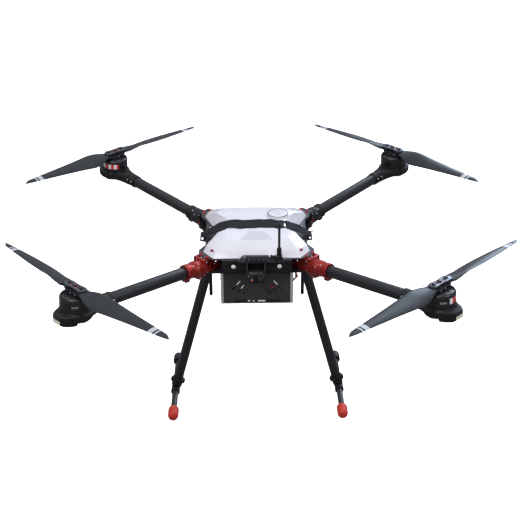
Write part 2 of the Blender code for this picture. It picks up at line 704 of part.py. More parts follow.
# ---------------------------------------------------------------- assembly
def build_arms(finish):
    shapes = {
        "arm_tube": (arm_tube(), "carbon"),
        "fold_sleeve": (fold_sleeve(), "red"),
        "lock_collar": (lock_collar(), "red"),
        "motor_mount": (motor_mount(), "black"),
        "fold_bracket": (fold_bracket(), "red"),
    }
    bell, hub = motor_bell(), prop_hub()
    blades = {side: blade(side) for side in (1, -1)}
    tilt = Vector((math.sin(DIHEDRAL), 0, -math.cos(DIHEDRAL))) * PIN_DROP
    for corner, azimuth in CORNERS.items():
        heading = Matrix.Rotation(math.radians(azimuth), 4, "Z")
        pin = heading @ (Vector((FOLD_RADIUS, 0, ARM_AXIS_Z)) + tilt)
        arm = frame_empty("arm_" + corner, pin, (0, -DIHEDRAL, math.radians(azimuth)))
        for name, (data, colour) in shapes.items():
            if corner[0] == "r" and colour == "red" and name != "fold_bracket":
                colour = "black"
            piece(name + "_" + corner, data.copy(), finish[colour], arm)
        turn = math.radians(ROTOR_AZIMUTH[corner] - azimuth)
        rotor = frame_empty("rotor_" + corner, (MOTOR_X, 0, PIN_DROP + PROP_LIFT), (0, 0, turn), arm)
        piece("motor_bell_" + corner, bell.copy(), finish["bell"], rotor)
        piece("prop_hub_" + corner, hub.copy(), finish["black"], rotor)
        swing = math.radians(BLADE_SWING[corner])
        shape = blades[SPIN_UP_SIDE[corner]]
        for letter, way, facing in (("a", 1, -swing), ("b", -1, math.pi + swing)):
            name = "blade_" + letter + "_" + corner
            piece(name, shape.copy(), finish["blade"], rotor, (way * BLADE_PIVOT, 0, 0), (0, 0, facing))


def build_airframe(finish):
    piece("top_plate", top_plate(), finish["carbon"])
    piece("bottom_plate", bottom_plate(), finish["carbon"])
    piece("canopy", canopy(), finish["white"])
    piece("battery_strap", battery_strap(), finish["webbing"])
    piece("gps_puck", gps_puck(), finish["white"])
    piece("front_beam", front_beam(), finish["black"])
    piece("accessory_rail", accessory_rail(), finish["grey"])
    piece("camera", camera(), finish["black"], None, CAMERA_AXIS)
    piece("antenna_whip", antenna_whip(), finish["black"], None, WHIP_PIVOT)
    stick = datalink_antenna()
    for name, side in (("left", -1), ("right", 1)):
        pivot = (side * 0.1175, -0.050, DECK_Z - 0.0065)
        piece("datalink_antenna_" + name, stick.copy(), finish["black"], None, pivot)
    piece("box_tray", box_tray(), finish["aluminium"])
    piece("box_front_panel", end_panel(BOX_Y[0] - 0.0001), finish["carbon"])
    piece("box_rear_panel", end_panel(BOX_Y[1] - 0.0019), finish["carbon"])
    piece("battery", battery(), finish["blue"])
    piece("flight_controller", flight_controller(), finish["black"])


def build_landing_gear(finish):
    for name, side in (("left", -1), ("right", 1)):
        piece("leg_" + name, leg(side), finish["carbon"])
        piece("leg_tee_" + name, leg_tee(side), finish["black"])
        piece("skid_" + name, skid(side), finish["carbon"])
        piece("foot_cap_" + name, foot_cap(side), finish["coral"])


def main():
    clear_scene()
    finish = {
        "carbon": material("carbon", (0.030, 0.031, 0.034), 0.42),
        "black": material("black_anodised", (0.026, 0.026, 0.029), 0.45),
        "bell": material("motor_can", (0.040, 0.041, 0.045), 0.35, 0.6),
        "red": material("red_anodised", (0.235, 0.018, 0.016), 0.38, 0.7),
        "white": material("white_shell", (0.74, 0.74, 0.80), 0.30),
        "grey": material("grey_anodised", (0.100, 0.102, 0.115), 0.42, 0.5),
        "blade": material("blade", (0.060, 0.068, 0.080), 0.35),
        "webbing": material("webbing", (0.016, 0.016, 0.018), 0.85),
        "aluminium": material("aluminium", (0.62, 0.62, 0.60), 0.30, 1.0),
        "blue": material("battery_wrap", (0.040, 0.060, 0.110), 0.50),
        "coral": material("coral_rubber", (0.505, 0.058, 0.040), 0.60),
    }
    build_arms(finish)
    build_airframe(finish)
    build_landing_gear(finish)


main()
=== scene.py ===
"""The looks of the folding carrier drone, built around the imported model.

Metres, +Z up, nose along -Y. Arm pieces are made in their arm's frame: origin on the fold pin, +X along the
arm, +Z square to it. Rotor pieces are made in the rotor's frame: origin on the motor axis at the propeller
plane. Both frames are read from the joints.
"""

import json
import math

import bmesh
import bpy
from mathutils import Matrix, Vector


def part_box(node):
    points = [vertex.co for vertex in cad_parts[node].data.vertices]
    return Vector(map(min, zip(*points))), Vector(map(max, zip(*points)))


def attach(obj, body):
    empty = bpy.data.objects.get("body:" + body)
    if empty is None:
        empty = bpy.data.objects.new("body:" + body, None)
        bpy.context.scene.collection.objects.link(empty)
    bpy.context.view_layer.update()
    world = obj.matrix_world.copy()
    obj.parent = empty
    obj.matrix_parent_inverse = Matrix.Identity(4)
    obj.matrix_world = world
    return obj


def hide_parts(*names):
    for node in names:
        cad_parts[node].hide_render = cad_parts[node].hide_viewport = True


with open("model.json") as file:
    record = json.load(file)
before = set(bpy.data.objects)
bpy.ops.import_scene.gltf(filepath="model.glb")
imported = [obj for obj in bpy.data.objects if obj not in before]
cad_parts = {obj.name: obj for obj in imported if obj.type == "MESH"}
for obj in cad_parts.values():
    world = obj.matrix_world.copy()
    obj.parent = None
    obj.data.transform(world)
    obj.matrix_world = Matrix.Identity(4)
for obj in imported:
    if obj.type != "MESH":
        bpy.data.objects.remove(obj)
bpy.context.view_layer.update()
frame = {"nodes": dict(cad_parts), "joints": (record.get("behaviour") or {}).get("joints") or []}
nodes = frame["nodes"]
joints = {joint["name"]: joint for joint in frame["joints"]}
CORNERS = ("fl", "fr", "rl", "rr")
SIDES = {"left": -1, "right": 1}


# ---------------------------------------------------------------- camera, stage and light
def make_camera():
    """The camera stands in front of the nose, above the propellers."""
    pitch, yaw, roll = math.radians(27.551), math.radians(-0.7129), math.radians(-0.3439)
    back = Vector((math.sin(yaw) * math.cos(pitch), -math.cos(yaw) * math.cos(pitch), math.sin(pitch)))
    level = Vector((math.cos(yaw), math.sin(yaw), 0))
    above = back.cross(level)
    right = math.cos(roll) * level + math.sin(roll) * above
    up = math.cos(roll) * above - math.sin(roll) * level
    data = bpy.data.cameras.new("camera")
    data.sensor_width = 36
    data.lens = 72.634
    camera = bpy.data.objects.new("camera", data)
    turn = Matrix((right, up, back)).transposed().to_4x4()
    camera.matrix_world = Matrix.Translation((-0.020361, -2.409640, 1.645812)) @ turn
    bpy.context.scene.collection.objects.link(camera)
    bpy.context.scene.camera = camera


def make_light(name, place, aim, size, power, colour):
    """A round soft light at a place, aimed at a point."""
    data = bpy.data.lights.new(name, "AREA")
    data.shape = "DISK"
    data.size = size
    data.energy = power
    data.color = colour
    light = bpy.data.objects.new(name, data)
    light.location = place
    light.rotation_euler = (Vector(aim) - Vector(place)).to_track_quat("-Z", "Y").to_euler()
    bpy.context.scene.collection.objects.link(light)


def make_stage():
    """White paper under the object, a pale surround, and soft light from three sides."""
    scene = bpy.context.scene
    scene.view_settings.view_transform = "Standard"
    world = bpy.data.worlds.new("surround")
    world.use_nodes = True
    tree = world.node_tree
    where, split = node_of(tree, "TexCoord"), node_of(tree, "SeparateXYZ")
    tree.links.new(where.outputs["Generated"], split.inputs[0])
    up = sum_of(tree, "MULTIPLY_ADD", split.outputs["Z"], 0.5, 0.5)
    sky = ramp_of(tree, up, (0.0, (0.16, 0.16, 0.17)), (0.50, (0.30, 0.30, 0.32)),
                  (0.72, (0.46, 0.48, 0.52)), (0.86, (0.92, 0.95, 1.0)), (1.0, (1.0, 1.0, 1.0)))
    tree.links.new(sky, tree.nodes["Background"].inputs["Color"])
    tree.nodes["Background"].inputs["Strength"].default_value = 1.15
    scene.world = world
    shape = bmesh.new()
    bmesh.ops.create_grid(shape, x_segments=8, y_segments=8, size=30)
    data = bpy.data.meshes.new("floor")
    shape.to_mesh(data)
    shape.free()
    floor = bpy.data.objects.new("floor", data)
    paper = grained("floor_paper", (0.90, 0.90, 0.90), (0.93, 0.93, 0.93), 0.9, specular=0.1)
    shader = paper.node_tree.nodes["Principled BSDF"]
    shader.inputs["Emission Color"].default_value = (1, 1, 1, 1)
    shader.inputs["Emission Strength"].default_value = 0.9
    floor.data.materials.append(paper)
    floor.visible_diffuse = False
    floor.visible_glossy = False
    scene.collection.objects.link(floor)
    make_light("key", (-1.2, -1.9, 3.2), (0, 0, 0.4), 2.2, 46, (1.0, 0.99, 0.98))
    make_light("fill", (2.2, -1.6, 2.4), (0, 0, 0.4), 2.0, 22, (0.95, 0.97, 1.0))
    make_light("rim", (1.9, 3.0, 2.1), (0.2, 0, 0.5), 2.6, 92, (0.66, 0.80, 1.0))


# ---------------------------------------------------------------- materials
def new_material(name, roughness, metallic, specular):
    """A material with its node tree and its shader."""
    made = bpy.data.materials.new(name)
    made.use_nodes = True
    shader = made.node_tree.nodes["Principled BSDF"]
    shader.inputs["Roughness"].default_value = roughness
    shader.inputs["Metallic"].default_value = metallic
    shader.inputs["Specular IOR Level"].default_value = specular
    return made, made.node_tree, shader


def node_of(tree, kind, **values):
    """A shader node of a kind, with its settings."""
    made = tree.nodes.new("ShaderNode" + kind)
    for key, value in values.items():
        setattr(made, key, value)
    return made


def sum_of(tree, operation, first, second=0.0, third=None):
    """A Math node. Each input is a socket or a number."""
    made = node_of(tree, "Math", operation=operation)
    for socket, value in zip(made.inputs, (first, second, third)):
        if isinstance(value, bpy.types.NodeSocket):
            tree.links.new(value, socket)
        elif value is not None:
            socket.default_value = value
    return made.outputs[0]


def noise_of(tree, scale, detail=3.0, stretch=(1, 1, 1)):
    """Noise over the object's own metres, scale in features per metre."""
    where = node_of(tree, "TexCoord")
    stretched = node_of(tree, "Mapping")
    stretched.inputs["Scale"].default_value = stretch
    tree.links.new(where.outputs["Object"], stretched.inputs["Vector"])
    noise = node_of(tree, "TexNoise")
    noise.inputs["Scale"].default_value = scale
    noise.inputs["Detail"].default_value = detail
    tree.links.new(stretched.outputs[0], noise.inputs["Vector"])
    return noise.outputs["Fac"]


def ramp_of(tree, factor, *stops):
    """A colour ramp through (position, colour) stops."""
    ramp = node_of(tree, "ValToRGB")
    elements = ramp.color_ramp.elements
    while len(elements) < len(stops):
        elements.new(0.5)
    for element, (position, colour) in zip(elements, stops):
        element.position = position
        element.color = (*colour, 1)
    tree.links.new(factor, ramp.inputs[0])
    return ramp.outputs[0]


def vary_roughness(tree, shader, factor, low, high):
    """Roughness that runs from low to high over the noise's middle range."""
    spread = node_of(tree, "MapRange")
    spread.inputs["From Min"].default_value = 0.3
    spread.inputs["From Max"].default_value = 0.7
    spread.inputs["To Min"].default_value = low
    spread.inputs["To Max"].default_value = high
    tree.links.new(factor, spread.inputs["Value"])
    tree.links.new(spread.outputs[0], shader.inputs["Roughness"])


def bump_from(tree, shader, height, depth):
    """Fine relief, its depth in metres."""
    bump = node_of(tree, "Bump")
    bump.inputs["Strength"].default_value = 1.0
    bump.inputs["Distance"].default_value = depth
    tree.links.new(height, bump.inputs["Height"])
    tree.links.new(bump.outputs[0], shader.inputs["Normal"])


def grained(name, dark, light, roughness, metallic=0.0, specular=0.5, patch=40, grain=900, depth=0.00004,
            spread=0.07, stretch=(1, 1, 1), coat=0.0, worn=None):
    """A finish with patchy colour, uneven gloss, a fine grain and, if asked, worn edges."""
    made, tree, shader = new_material(name, roughness, metallic, specular)
    colour = ramp_of(tree, noise_of(tree, patch, 4.0, stretch), (0.35, dark), (0.65, light))
    if worn:
        edges = node_of(tree, "NewGeometry").outputs["Pointiness"]
        scuffs = sum_of(tree, "MULTIPLY", noise_of(tree, 260), 0.09)
        mask = sum_of(tree, "ADD", edges, scuffs)
        mask = sum_of(tree, "SMOOTH_MIN", sum_of(tree, "MULTIPLY_ADD", mask, 14.0, -8.3), 1.0, 0.1)
        mask = sum_of(tree, "MAXIMUM", mask, 0.0)
        mix = node_of(tree, "Mix", data_type="RGBA")
        tree.links.new(mask, mix.inputs["Factor"])
        tree.links.new(colour, mix.inputs["A"])
        mix.inputs["B"].default_value = (*worn, 1)
        colour = mix.outputs["Result"]
    tree.links.new(colour, shader.inputs["Base Color"])
    uneven = noise_of(tree, patch * 2.3, 2.0, stretch)
    vary_roughness(tree, shader, uneven, roughness - spread, roughness + spread)
    bump_from(tree, shader, noise_of(tree, grain, 2.0, stretch), depth)
    if coat:
        shader.inputs["Coat Weight"].default_value = coat
        shader.inputs["Coat Roughness"].default_value = 0.12
    return made


def weave_coordinates(tree, way, radius):
    """Two lengths over the surface. way is two of X, Y and Z, or "round" for a tube along X."""
    split = node_of(tree, "SeparateXYZ")
    tree.links.new(node_of(tree, "TexCoord").outputs["Object"], split.inputs[0])
    x, y, z = split.outputs
    if way == "round":
        around = sum_of(tree, "MULTIPLY", sum_of(tree, "ARCTAN2", y, z), radius)
        return x, around
    return tuple({"X": x, "Y": y, "Z": z}[letter] for letter in way)


def woven(name, way, thread, dark, light, roughness, specular=0.4, depth=0.00012, radius=0.015, coat=0.0,
          metallic=0.0):
    """A 2/2 twill: each thread passes over two and under two, one step on in every row."""
    made, tree, shader = new_material(name, roughness, metallic, specular)
    along, across = weave_coordinates(tree, way, radius)
    u = sum_of(tree, "MULTIPLY", along, 1 / thread)
    v = sum_of(tree, "MULTIPLY", across, 1 / thread)
    step = sum_of(tree, "ADD", sum_of(tree, "FLOOR", u), sum_of(tree, "FLOOR", v))
    over = sum_of(tree, "LESS_THAN", sum_of(tree, "FLOORED_MODULO", step, 4.0), 1.5)
    warp = sum_of(tree, "ABSOLUTE", sum_of(tree, "SINE", sum_of(tree, "MULTIPLY", u, math.pi)))
    weft = sum_of(tree, "ABSOLUTE", sum_of(tree, "SINE", sum_of(tree, "MULTIPLY", v, math.pi)))
    height = node_of(tree, "Mix", data_type="FLOAT")
    tree.links.new(over, height.inputs["Factor"])
    tree.links.new(warp, height.inputs["A"])
    tree.links.new(weft, height.inputs["B"])
    lit = sum_of(tree, "MULTIPLY_ADD", over, 0.55, sum_of(tree, "MULTIPLY", height.outputs[0], 0.25))
    lit = sum_of(tree, "ADD", lit, sum_of(tree, "MULTIPLY", noise_of(tree, 30), 0.25))
    tree.links.new(ramp_of(tree, lit, (0.2, dark), (0.95, light)), shader.inputs["Base Color"])
    vary_roughness(tree, shader, noise_of(tree, 50), roughness - 0.06, roughness + 0.06)
    bump_from(tree, shader, height.outputs[0], depth)
    if coat:
        shader.inputs["Coat Weight"].default_value = coat
        shader.inputs["Coat Roughness"].default_value = 0.2
    return made


def banded_blade():
    """Dark blue-grey moulded blade, with two pale bands painted across it near the tip."""
    made, tree, shader = new_material("blade_finish", 0.34, 0.0, 0.30)
    base = ramp_of(tree, noise_of(tree, 18, 4.0, (0.3, 1, 1)), (0.35, (0.0075, 0.0095, 0.0130)),
                   (0.65, (0.0120, 0.0145, 0.0190)))
    split = node_of(tree, "SeparateXYZ")
    tree.links.new(node_of(tree, "TexCoord").outputs["Object"], split.inputs[0])
    out = sum_of(tree, "ADD", split.outputs["X"], sum_of(tree, "MULTIPLY", noise_of(tree, 400), 0.0006))
    bands = None
    for middle, width in ((0.2345, 0.0120), (0.2475, 0.0042)):
        inside = sum_of(tree, "COMPARE", out, middle, width / 2)
        bands = inside if bands is None else sum_of(tree, "MAXIMUM", bands, inside)
    mix = node_of(tree, "Mix", data_type="RGBA")
    tree.links.new(bands, mix.inputs["Factor"])
    tree.links.new(base, mix.inputs["A"])
    mix.inputs["B"].default_value = (0.40, 0.42, 0.45, 1)
    tree.links.new(mix.outputs["Result"], shader.inputs["Base Color"])
    vary_roughness(tree, shader, noise_of(tree, 60, 3.0, (0.2, 1, 1)), 0.28, 0.40)
    bump_from(tree, shader, noise_of(tree, 1400, 2.0, (0.15, 1, 1)), 0.00003)
    return made


def striped_label(name, stripe, across, period, share):
    """A pale sticker with plain coloured bars and no writing."""
    made, tree, shader = new_material(name, 0.45, 0.0, 0.4)
    split = node_of(tree, "SeparateXYZ")
    tree.links.new(node_of(tree, "TexCoord").outputs["Object"], split.inputs[0])
    place = sum_of(tree, "MULTIPLY_ADD", split.outputs[across], 1 / period, 0.5)
    bars = sum_of(tree, "LESS_THAN", sum_of(tree, "FRACT", place), share)
    colour = ramp_of(tree, bars, (0.0, (0.74, 0.74, 0.74)), (1.0, stripe))
    tree.links.new(colour, shader.inputs["Base Color"])
    vary_roughness(tree, shader, noise_of(tree, 200), 0.38, 0.52)
    bump_from(tree, shader, noise_of(tree, 700), 0.00003)
    return made


def clear_lens(name, colour, roughness):
    """A moulded lens, bright and slightly pebbled."""
    made, tree, shader = new_material(name, roughness, 0.0, 0.5)
    tone = ramp_of(tree, noise_of(tree, 160, 2.0), (0.3, [c * 0.82 for c in colour]), (0.7, colour))
    tree.links.new(tone, shader.inputs["Base Color"])
    bump_from(tree, shader, noise_of(tree, 500, 1.0), 0.0001)
    shader.inputs["Coat Weight"].default_value = 0.6
    return made


def make_materials():
    """Every finish, by the short name that the pieces ask for."""
    black = dict(specular=0.26, spread=0.06)
    return {
        "red": grained("red_anodised", (0.230, 0.0125, 0.0100), (0.330, 0.0200, 0.0165), 0.28, 0.55, 0.5,
                       patch=55, grain=1500, worn=(0.42, 0.075, 0.060)),
        "black": grained("black_anodised", (0.0050, 0.0050, 0.0058), (0.0085, 0.0085, 0.0100), 0.40, 0.0,
                         patch=50, grain=1300, worn=(0.030, 0.030, 0.034), **black),
        "can": grained("motor_can", (0.0045, 0.0045, 0.0052), (0.0080, 0.0082, 0.0095), 0.28, 0.0,
                       specular=0.38, patch=70, grain=1200, stretch=(1, 1, 6), worn=(0.035, 0.035, 0.040)),
        "plate_metal": grained("hub_plate", (0.050, 0.055, 0.068), (0.090, 0.099, 0.120), 0.20, 0.65,
                               patch=80, grain=900, stretch=(0.2, 1, 1), worn=(0.30, 0.33, 0.38)),
        "grey": grained("grey_anodised", (0.030, 0.031, 0.037), (0.046, 0.048, 0.056), 0.42, 0.2,
                        specular=0.4, patch=60, grain=1200, worn=(0.16, 0.16, 0.18)),
        "steel": grained("bright_steel", (0.52, 0.52, 0.52), (0.66, 0.66, 0.65), 0.26, 1.0, patch=200,
                         grain=1800, spread=0.08),
        "red_screw": grained("red_screw", (0.42, 0.008, 0.012), (0.58, 0.016, 0.022), 0.28, 0.5, patch=300,
                             grain=1500),
        "aluminium": grained("brushed_aluminium", (0.50, 0.50, 0.51), (0.72, 0.72, 0.73), 0.30, 0.75,
                             patch=60, grain=700, stretch=(6, 6, 0.15), worn=(0.8, 0.8, 0.8)),
        "plastic": grained("black_plastic", (0.0045, 0.0045, 0.0050), (0.0080, 0.0080, 0.0090), 0.46, 0.0,
                           patch=45, grain=600, depth=0.00009, **black),
        "white": grained("white_shell", (0.560, 0.555, 0.610), (0.600, 0.595, 0.650), 0.24, 0.0, patch=14,
                         grain=500, depth=0.00002, coat=0.35, spread=0.05),
        # A greyer copy of the white shell: painted shade for the upward facets of the nose's trapezoid.
        "white_painted_shade": grained("white_shell_painted_shade", (0.450, 0.450, 0.490), (0.490, 0.490, 0.530), 0.30, 0.0,
                               patch=14, grain=500, depth=0.00002, coat=0.2, spread=0.05),
        "dark_steel": grained("dark_steel", (0.060, 0.062, 0.070), (0.110, 0.113, 0.125), 0.28, 0.8,
                              patch=200, grain=1800, spread=0.08),
        "coral": grained("coral_rubber", (0.400, 0.024, 0.015), (0.500, 0.036, 0.024), 0.55, 0.0,
                         specular=0.3, patch=90, grain=420, depth=0.00025, worn=(0.60, 0.09, 0.07)),
        "webbing": woven("webbing", "XY", 0.0016, (0.0045, 0.0045, 0.0055), (0.018, 0.018, 0.022), 0.85, 0.2,
                         0.00035),
        "carbon_top": woven("carbon_sheet_level", "XY", 0.0017, (0.0060, 0.0060, 0.0070),
                            (0.026, 0.027, 0.032), 0.36, 0.35, coat=0.1),
        "carbon_end": woven("carbon_sheet_upright", "XZ", 0.0021, (0.0040, 0.0034, 0.0034),
                            (0.066, 0.056, 0.055), 0.40, 0.35, coat=0.1),
        "carbon_tube": woven("carbon_tube", "round", 0.0019, (0.0045, 0.0048, 0.0055),
                             (0.0190, 0.0200, 0.0230), 0.36, 0.32, 0.00006),
        "blade": banded_blade(),
        "lamp": clear_lens("lamp_lens", (0.92, 0.92, 0.86), 0.15),
        "lamp_core": clear_lens("lamp_core", (0.80, 0.74, 0.42), 0.30),
        "pod_lens": clear_lens("pod_lens", (0.70, 0.68, 0.52), 0.35),
        "glass": grained("camera_glass", (0.004, 0.005, 0.009), (0.010, 0.011, 0.018), 0.06, 0.0, patch=200,
                         grain=300, depth=0.00001, spread=0.03, coat=1.0),
        "orange": clear_lens("orange_glass", (0.75, 0.13, 0.04), 0.15),
        "motor_label": striped_label("motor_label", (0.62, 0.035, 0.030), "X", 0.016, 0.50),
        "pale_mark": grained("pale_mark", (0.22, 0.21, 0.18), (0.32, 0.30, 0.26), 0.40, 0.3, patch=300),
        "dark_ring": grained("dark_ring", (0.020, 0.016, 0.022), (0.034, 0.026, 0.036), 0.35, patch=200),
        "wrap": grained("battery_wrap", (0.010, 0.018, 0.045), (0.016, 0.028, 0.065), 0.38, 0.0, patch=30,
                        grain=240, depth=0.0003),
        "wire_orange": grained("wire_orange", (0.50, 0.115, 0.012), (0.62, 0.16, 0.020), 0.42, patch=150),
        "wire_red": grained("wire_red", (0.42, 0.012, 0.012), (0.52, 0.020, 0.018), 0.40, patch=150),
        "wire_white": grained("wire_white", (0.60, 0.60, 0.58), (0.72, 0.72, 0.70), 0.42, patch=150),
        "wire_blue": grained("wire_blue", (0.012, 0.040, 0.16), (0.018, 0.055, 0.22), 0.42, patch=150),
    }


# ---------------------------------------------------------------- solids, each a bmesh
def box_solid(low, high):
    """A box between two opposite corners, which may be given in either order."""
    low, high = Vector(low), Vector(high)
    solid = bmesh.new()
    bmesh.ops.create_cube(solid, size=1)
    bmesh.ops.scale(solid, verts=solid.verts, vec=high - low)
    bmesh.ops.translate(solid, verts=solid.verts, vec=(low + high) / 2)
    return solid


def lofted(rings, closed=False):
    """Rings of points joined in order, with capped ends or, if closed, the last ring joined to the first."""
    solid = bmesh.new()
    made = [[solid.verts.new(point) for point in ring] for ring in rings]
    count = len(made[0])
    following = made[1:] + made[:1] if closed else made[1:]
    for near, far in zip(made, following):
        for i in range(count):
            j = (i + 1) % count
            solid.faces.new((near[i], near[j], far[j], far[i]))
    if not closed:
        solid.faces.new(made[0][::-1])
        solid.faces.new(made[-1])
    return solid


AXIS_PLACES = {
    "X": lambda u, v, w: Vector((w, u, v)),
    "Y": lambda u, v, w: Vector((v, w, u)),
    "Z": lambda u, v, w: Vector((u, v, w)),
}


def extruded(outline, start, end, axis="Z"):
    """An outline run along an axis. Along X it is (y, z), along Y it is (z, x), along Z it is (x, y)."""
    place = AXIS_PLACES[axis]
    return lofted([[place(u, v, w) for u, v in outline] for w in (start, end)])


def pierced(outline, holes, start, end, axis="Z"):
    """An extruded outline with holes through it."""
    place = AXIS_PLACES[axis]
    solid = bmesh.new()
    edges = []
    for loop in [outline, *holes]:
        corners = [solid.verts.new(place(u, v, start)) for u, v in loop]
        edges += [solid.edges.new((a, b)) for a, b in zip(corners, corners[1:] + corners[:1])]
    bmesh.ops.triangle_fill(solid, use_beauty=True, use_dissolve=False, edges=edges)
    grown = bmesh.ops.extrude_face_region(solid, geom=solid.faces[:])
    risen = [item for item in grown["geom"] if isinstance(item, bmesh.types.BMVert)]
    bmesh.ops.translate(solid, verts=risen, vec=place(0, 0, end) - place(0, 0, start))
    return solid


def turned(profile, sides=48, axis="Z", centre=(0, 0, 0)):
    """A closed (radius, height) profile turned about an axis. A radius of 0 makes one point."""
    place = AXIS_PLACES[axis]
    centre = Vector(centre)
    solid = bmesh.new()
    rings = []
    for radius, height in profile:
        ring = []
        for i in range(1 if radius == 0 else sides):
            angle = math.tau * i / sides
            point = place(radius * math.cos(angle), radius * math.sin(angle), height)
            ring.append(solid.verts.new(centre + point))
        rings.append(ring)
    for near, far in zip(rings, rings[1:] + rings[:1]):
        if len(near) == 1 and len(far) == 1:
            continue
        for i in range(sides):
            j = (i + 1) % sides
            corners = [near[i % len(near)], near[j % len(near)], far[j % len(far)], far[i % len(far)]]
            solid.faces.new(list(dict.fromkeys(corners)))
    return solid


def disc_solid(radius, start, end, sides=32, axis="Z", centre=(0, 0, 0)):
    return turned([(0, start), (radius, start), (radius, end), (0, end)], sides, axis, centre)


def bush_solid(inner, outer, start, end, sides=48, axis="Z", centre=(0, 0, 0)):
    return turned([(inner, start), (outer, start), (outer, end), (inner, end)], sides, axis, centre)


def polygon(radius, sides, turn=0.0, centre=(0, 0)):
    """A regular polygon's outline."""
    angles = [turn + math.tau * i / sides for i in range(sides)]
    return [(centre[0] + radius * math.cos(a), centre[1] + radius * math.sin(a)) for a in angles]


def rectangle(left, right, low, high):
    return [(left, low), (right, low), (right, high), (left, high)]


def swept(points, radius, sides=12):
    """A round cord through points."""
    rings = []
    side = Vector((0, 1, 0))
    for i, point in enumerate(points):
        ahead = (points[min(i + 1, len(points) - 1)] - points[max(i - 1, 0)]).normalized()
        side = (side - ahead * side.dot(ahead)).normalized()
        other = ahead.cross(side)
        angles = [math.tau * k / sides for k in range(sides)]
        rings.append([point + radius * (math.cos(a) * side + math.sin(a) * other) for a in angles])
    return lofted(rings)


def smooth_path(points, steps=6):
    """A Catmull-Rom curve through points."""
    points = [Vector(point) for point in points]
    ends = [2 * points[0] - points[1], *points, 2 * points[-1] - points[-2]]
    path = []
    for a, b, c, d in zip(ends, ends[1:], ends[2:], ends[3:]):
        for i in range(steps):
            t = i / steps
            path.append(0.5 * (2 * b + (c - a) * t + (2 * a - 5 * b + 4 * c - d) * t * t
                               + (3 * b - a - 3 * c + d) * t ** 3))
    return path + [points[-1]]


def screw_solid(radius, height, axis="Z", centre=(0, 0, 0), way=1):
    """A button head with a socket, standing way along its axis."""
    socket = radius * 0.42
    profile = [(0, 0), (radius, 0), (radius * 0.96, height * 0.45), (radius * 0.70, height * 0.88),
               (socket, height), (socket, height * 0.35), (0, height * 0.35)]
    return turned([(r, way * h) for r, h in profile], 16, axis, centre)


# ---------------------------------------------------------------- pieces
class Shape:
    """Gathers solids, each with its own finish, into one named piece."""

    def __init__(self):
        self.gathered = bmesh.new()
        self.finishes = []

    def add(self, solid, finish, bevel=0.0, place=None):
        """One more solid, with its sharp edges bevelled, moved to its place."""
        if bevel:
            bmesh.ops.recalc_face_normals(solid, faces=solid.faces)
            sharp = [edge for edge in solid.edges if edge.calc_face_angle(0) > math.radians(28)]
            bmesh.ops.bevel(solid, geom=sharp, offset=bevel, segments=2, profile=0.6, affect="EDGES",
                            clamp_overlap=True)
        if place is not None:
            solid.transform(place)
        bmesh.ops.recalc_face_normals(solid, faces=solid.faces)
        if finish not in self.finishes:
            self.finishes.append(finish)
        for face in solid.faces:
            face.material_index = self.finishes.index(finish)
        data = bpy.data.meshes.new("part")
        solid.to_mesh(data)
        solid.free()
        self.gathered.from_mesh(data)
        bpy.data.meshes.remove(data)
        return self

    def piece(self, name, body, stands_for=(), place=None):
        """The finished object, riding on its body, in place of the model's nodes that it stands for."""
        data = bpy.data.meshes.new(name)
        self.gathered.to_mesh(data)
        for finish in self.finishes:
            data.materials.append(FINISH[finish])
        data.shade_smooth()
        data.set_sharp_from_angle(angle=math.radians(32))
        made = bpy.data.objects.new(name, data)
        bpy.context.scene.collection.objects.link(made)
        if place is not None:
            made.matrix_world = place
        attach(made, body)
        if stands_for:
            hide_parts(*stands_for)
        return made


def frame_matrix(origin, x, z):
    """A frame at a point, from its X and Z directions."""
    x, z = Vector(x).normalized(), Vector(z).normalized()
    turn = Matrix((x, z.cross(x), z)).transposed().to_4x4()
    return Matrix.Translation(origin) @ turn


def joint_point(name):
    return Vector(joints[name]["pos_m"])


def joint_axis(name):
    return Vector(joints[name]["axis"]).normalized()


def arm_frame(corner):
    """On the fold pin: +X along the arm, +Z square to it."""
    along, across = joint_axis("collar_turn_" + corner), joint_axis("arm_fold_" + corner)
    return frame_matrix(joint_point("arm_fold_" + corner), along, along.cross(across))


def rotor_frame(corner):
    """On the motor's axis at the propeller plane: +X towards the first blade's bolt."""
    line = joint_point("blade_fold_a_" + corner) - joint_point("blade_fold_b_" + corner)
    return frame_matrix(joint_point("rotor_spin_" + corner), line, joint_axis("rotor_spin_" + corner))


# ---------------------------------------------------------------- rotors
BELL_R = 0.036
BELL_LOW, BELL_TOP = -0.0375, -0.0110
HUB_PLATES = ((-0.0072, -0.0042), (0.0042, 0.0072))
HUB_HALF, HUB_W = 0.034, 0.0120
BLADE_PIVOT = 0.022
PROP_TIP_R = 0.305
ROOT_CHORD, MOST_CHORD, TIP_CHORD = 0.0260, 0.051, 0.0135
BLADE_WIDEST = 0.24
PROP_ADVANCE = 0.205
SPIN_UP_SIDE = {"fl": 1, "fr": -1, "rl": -1, "rr": 1}
BLADE_SWING = {"fl": 2.6, "fr": 0.0, "rl": 0.7, "rr": -2.1}


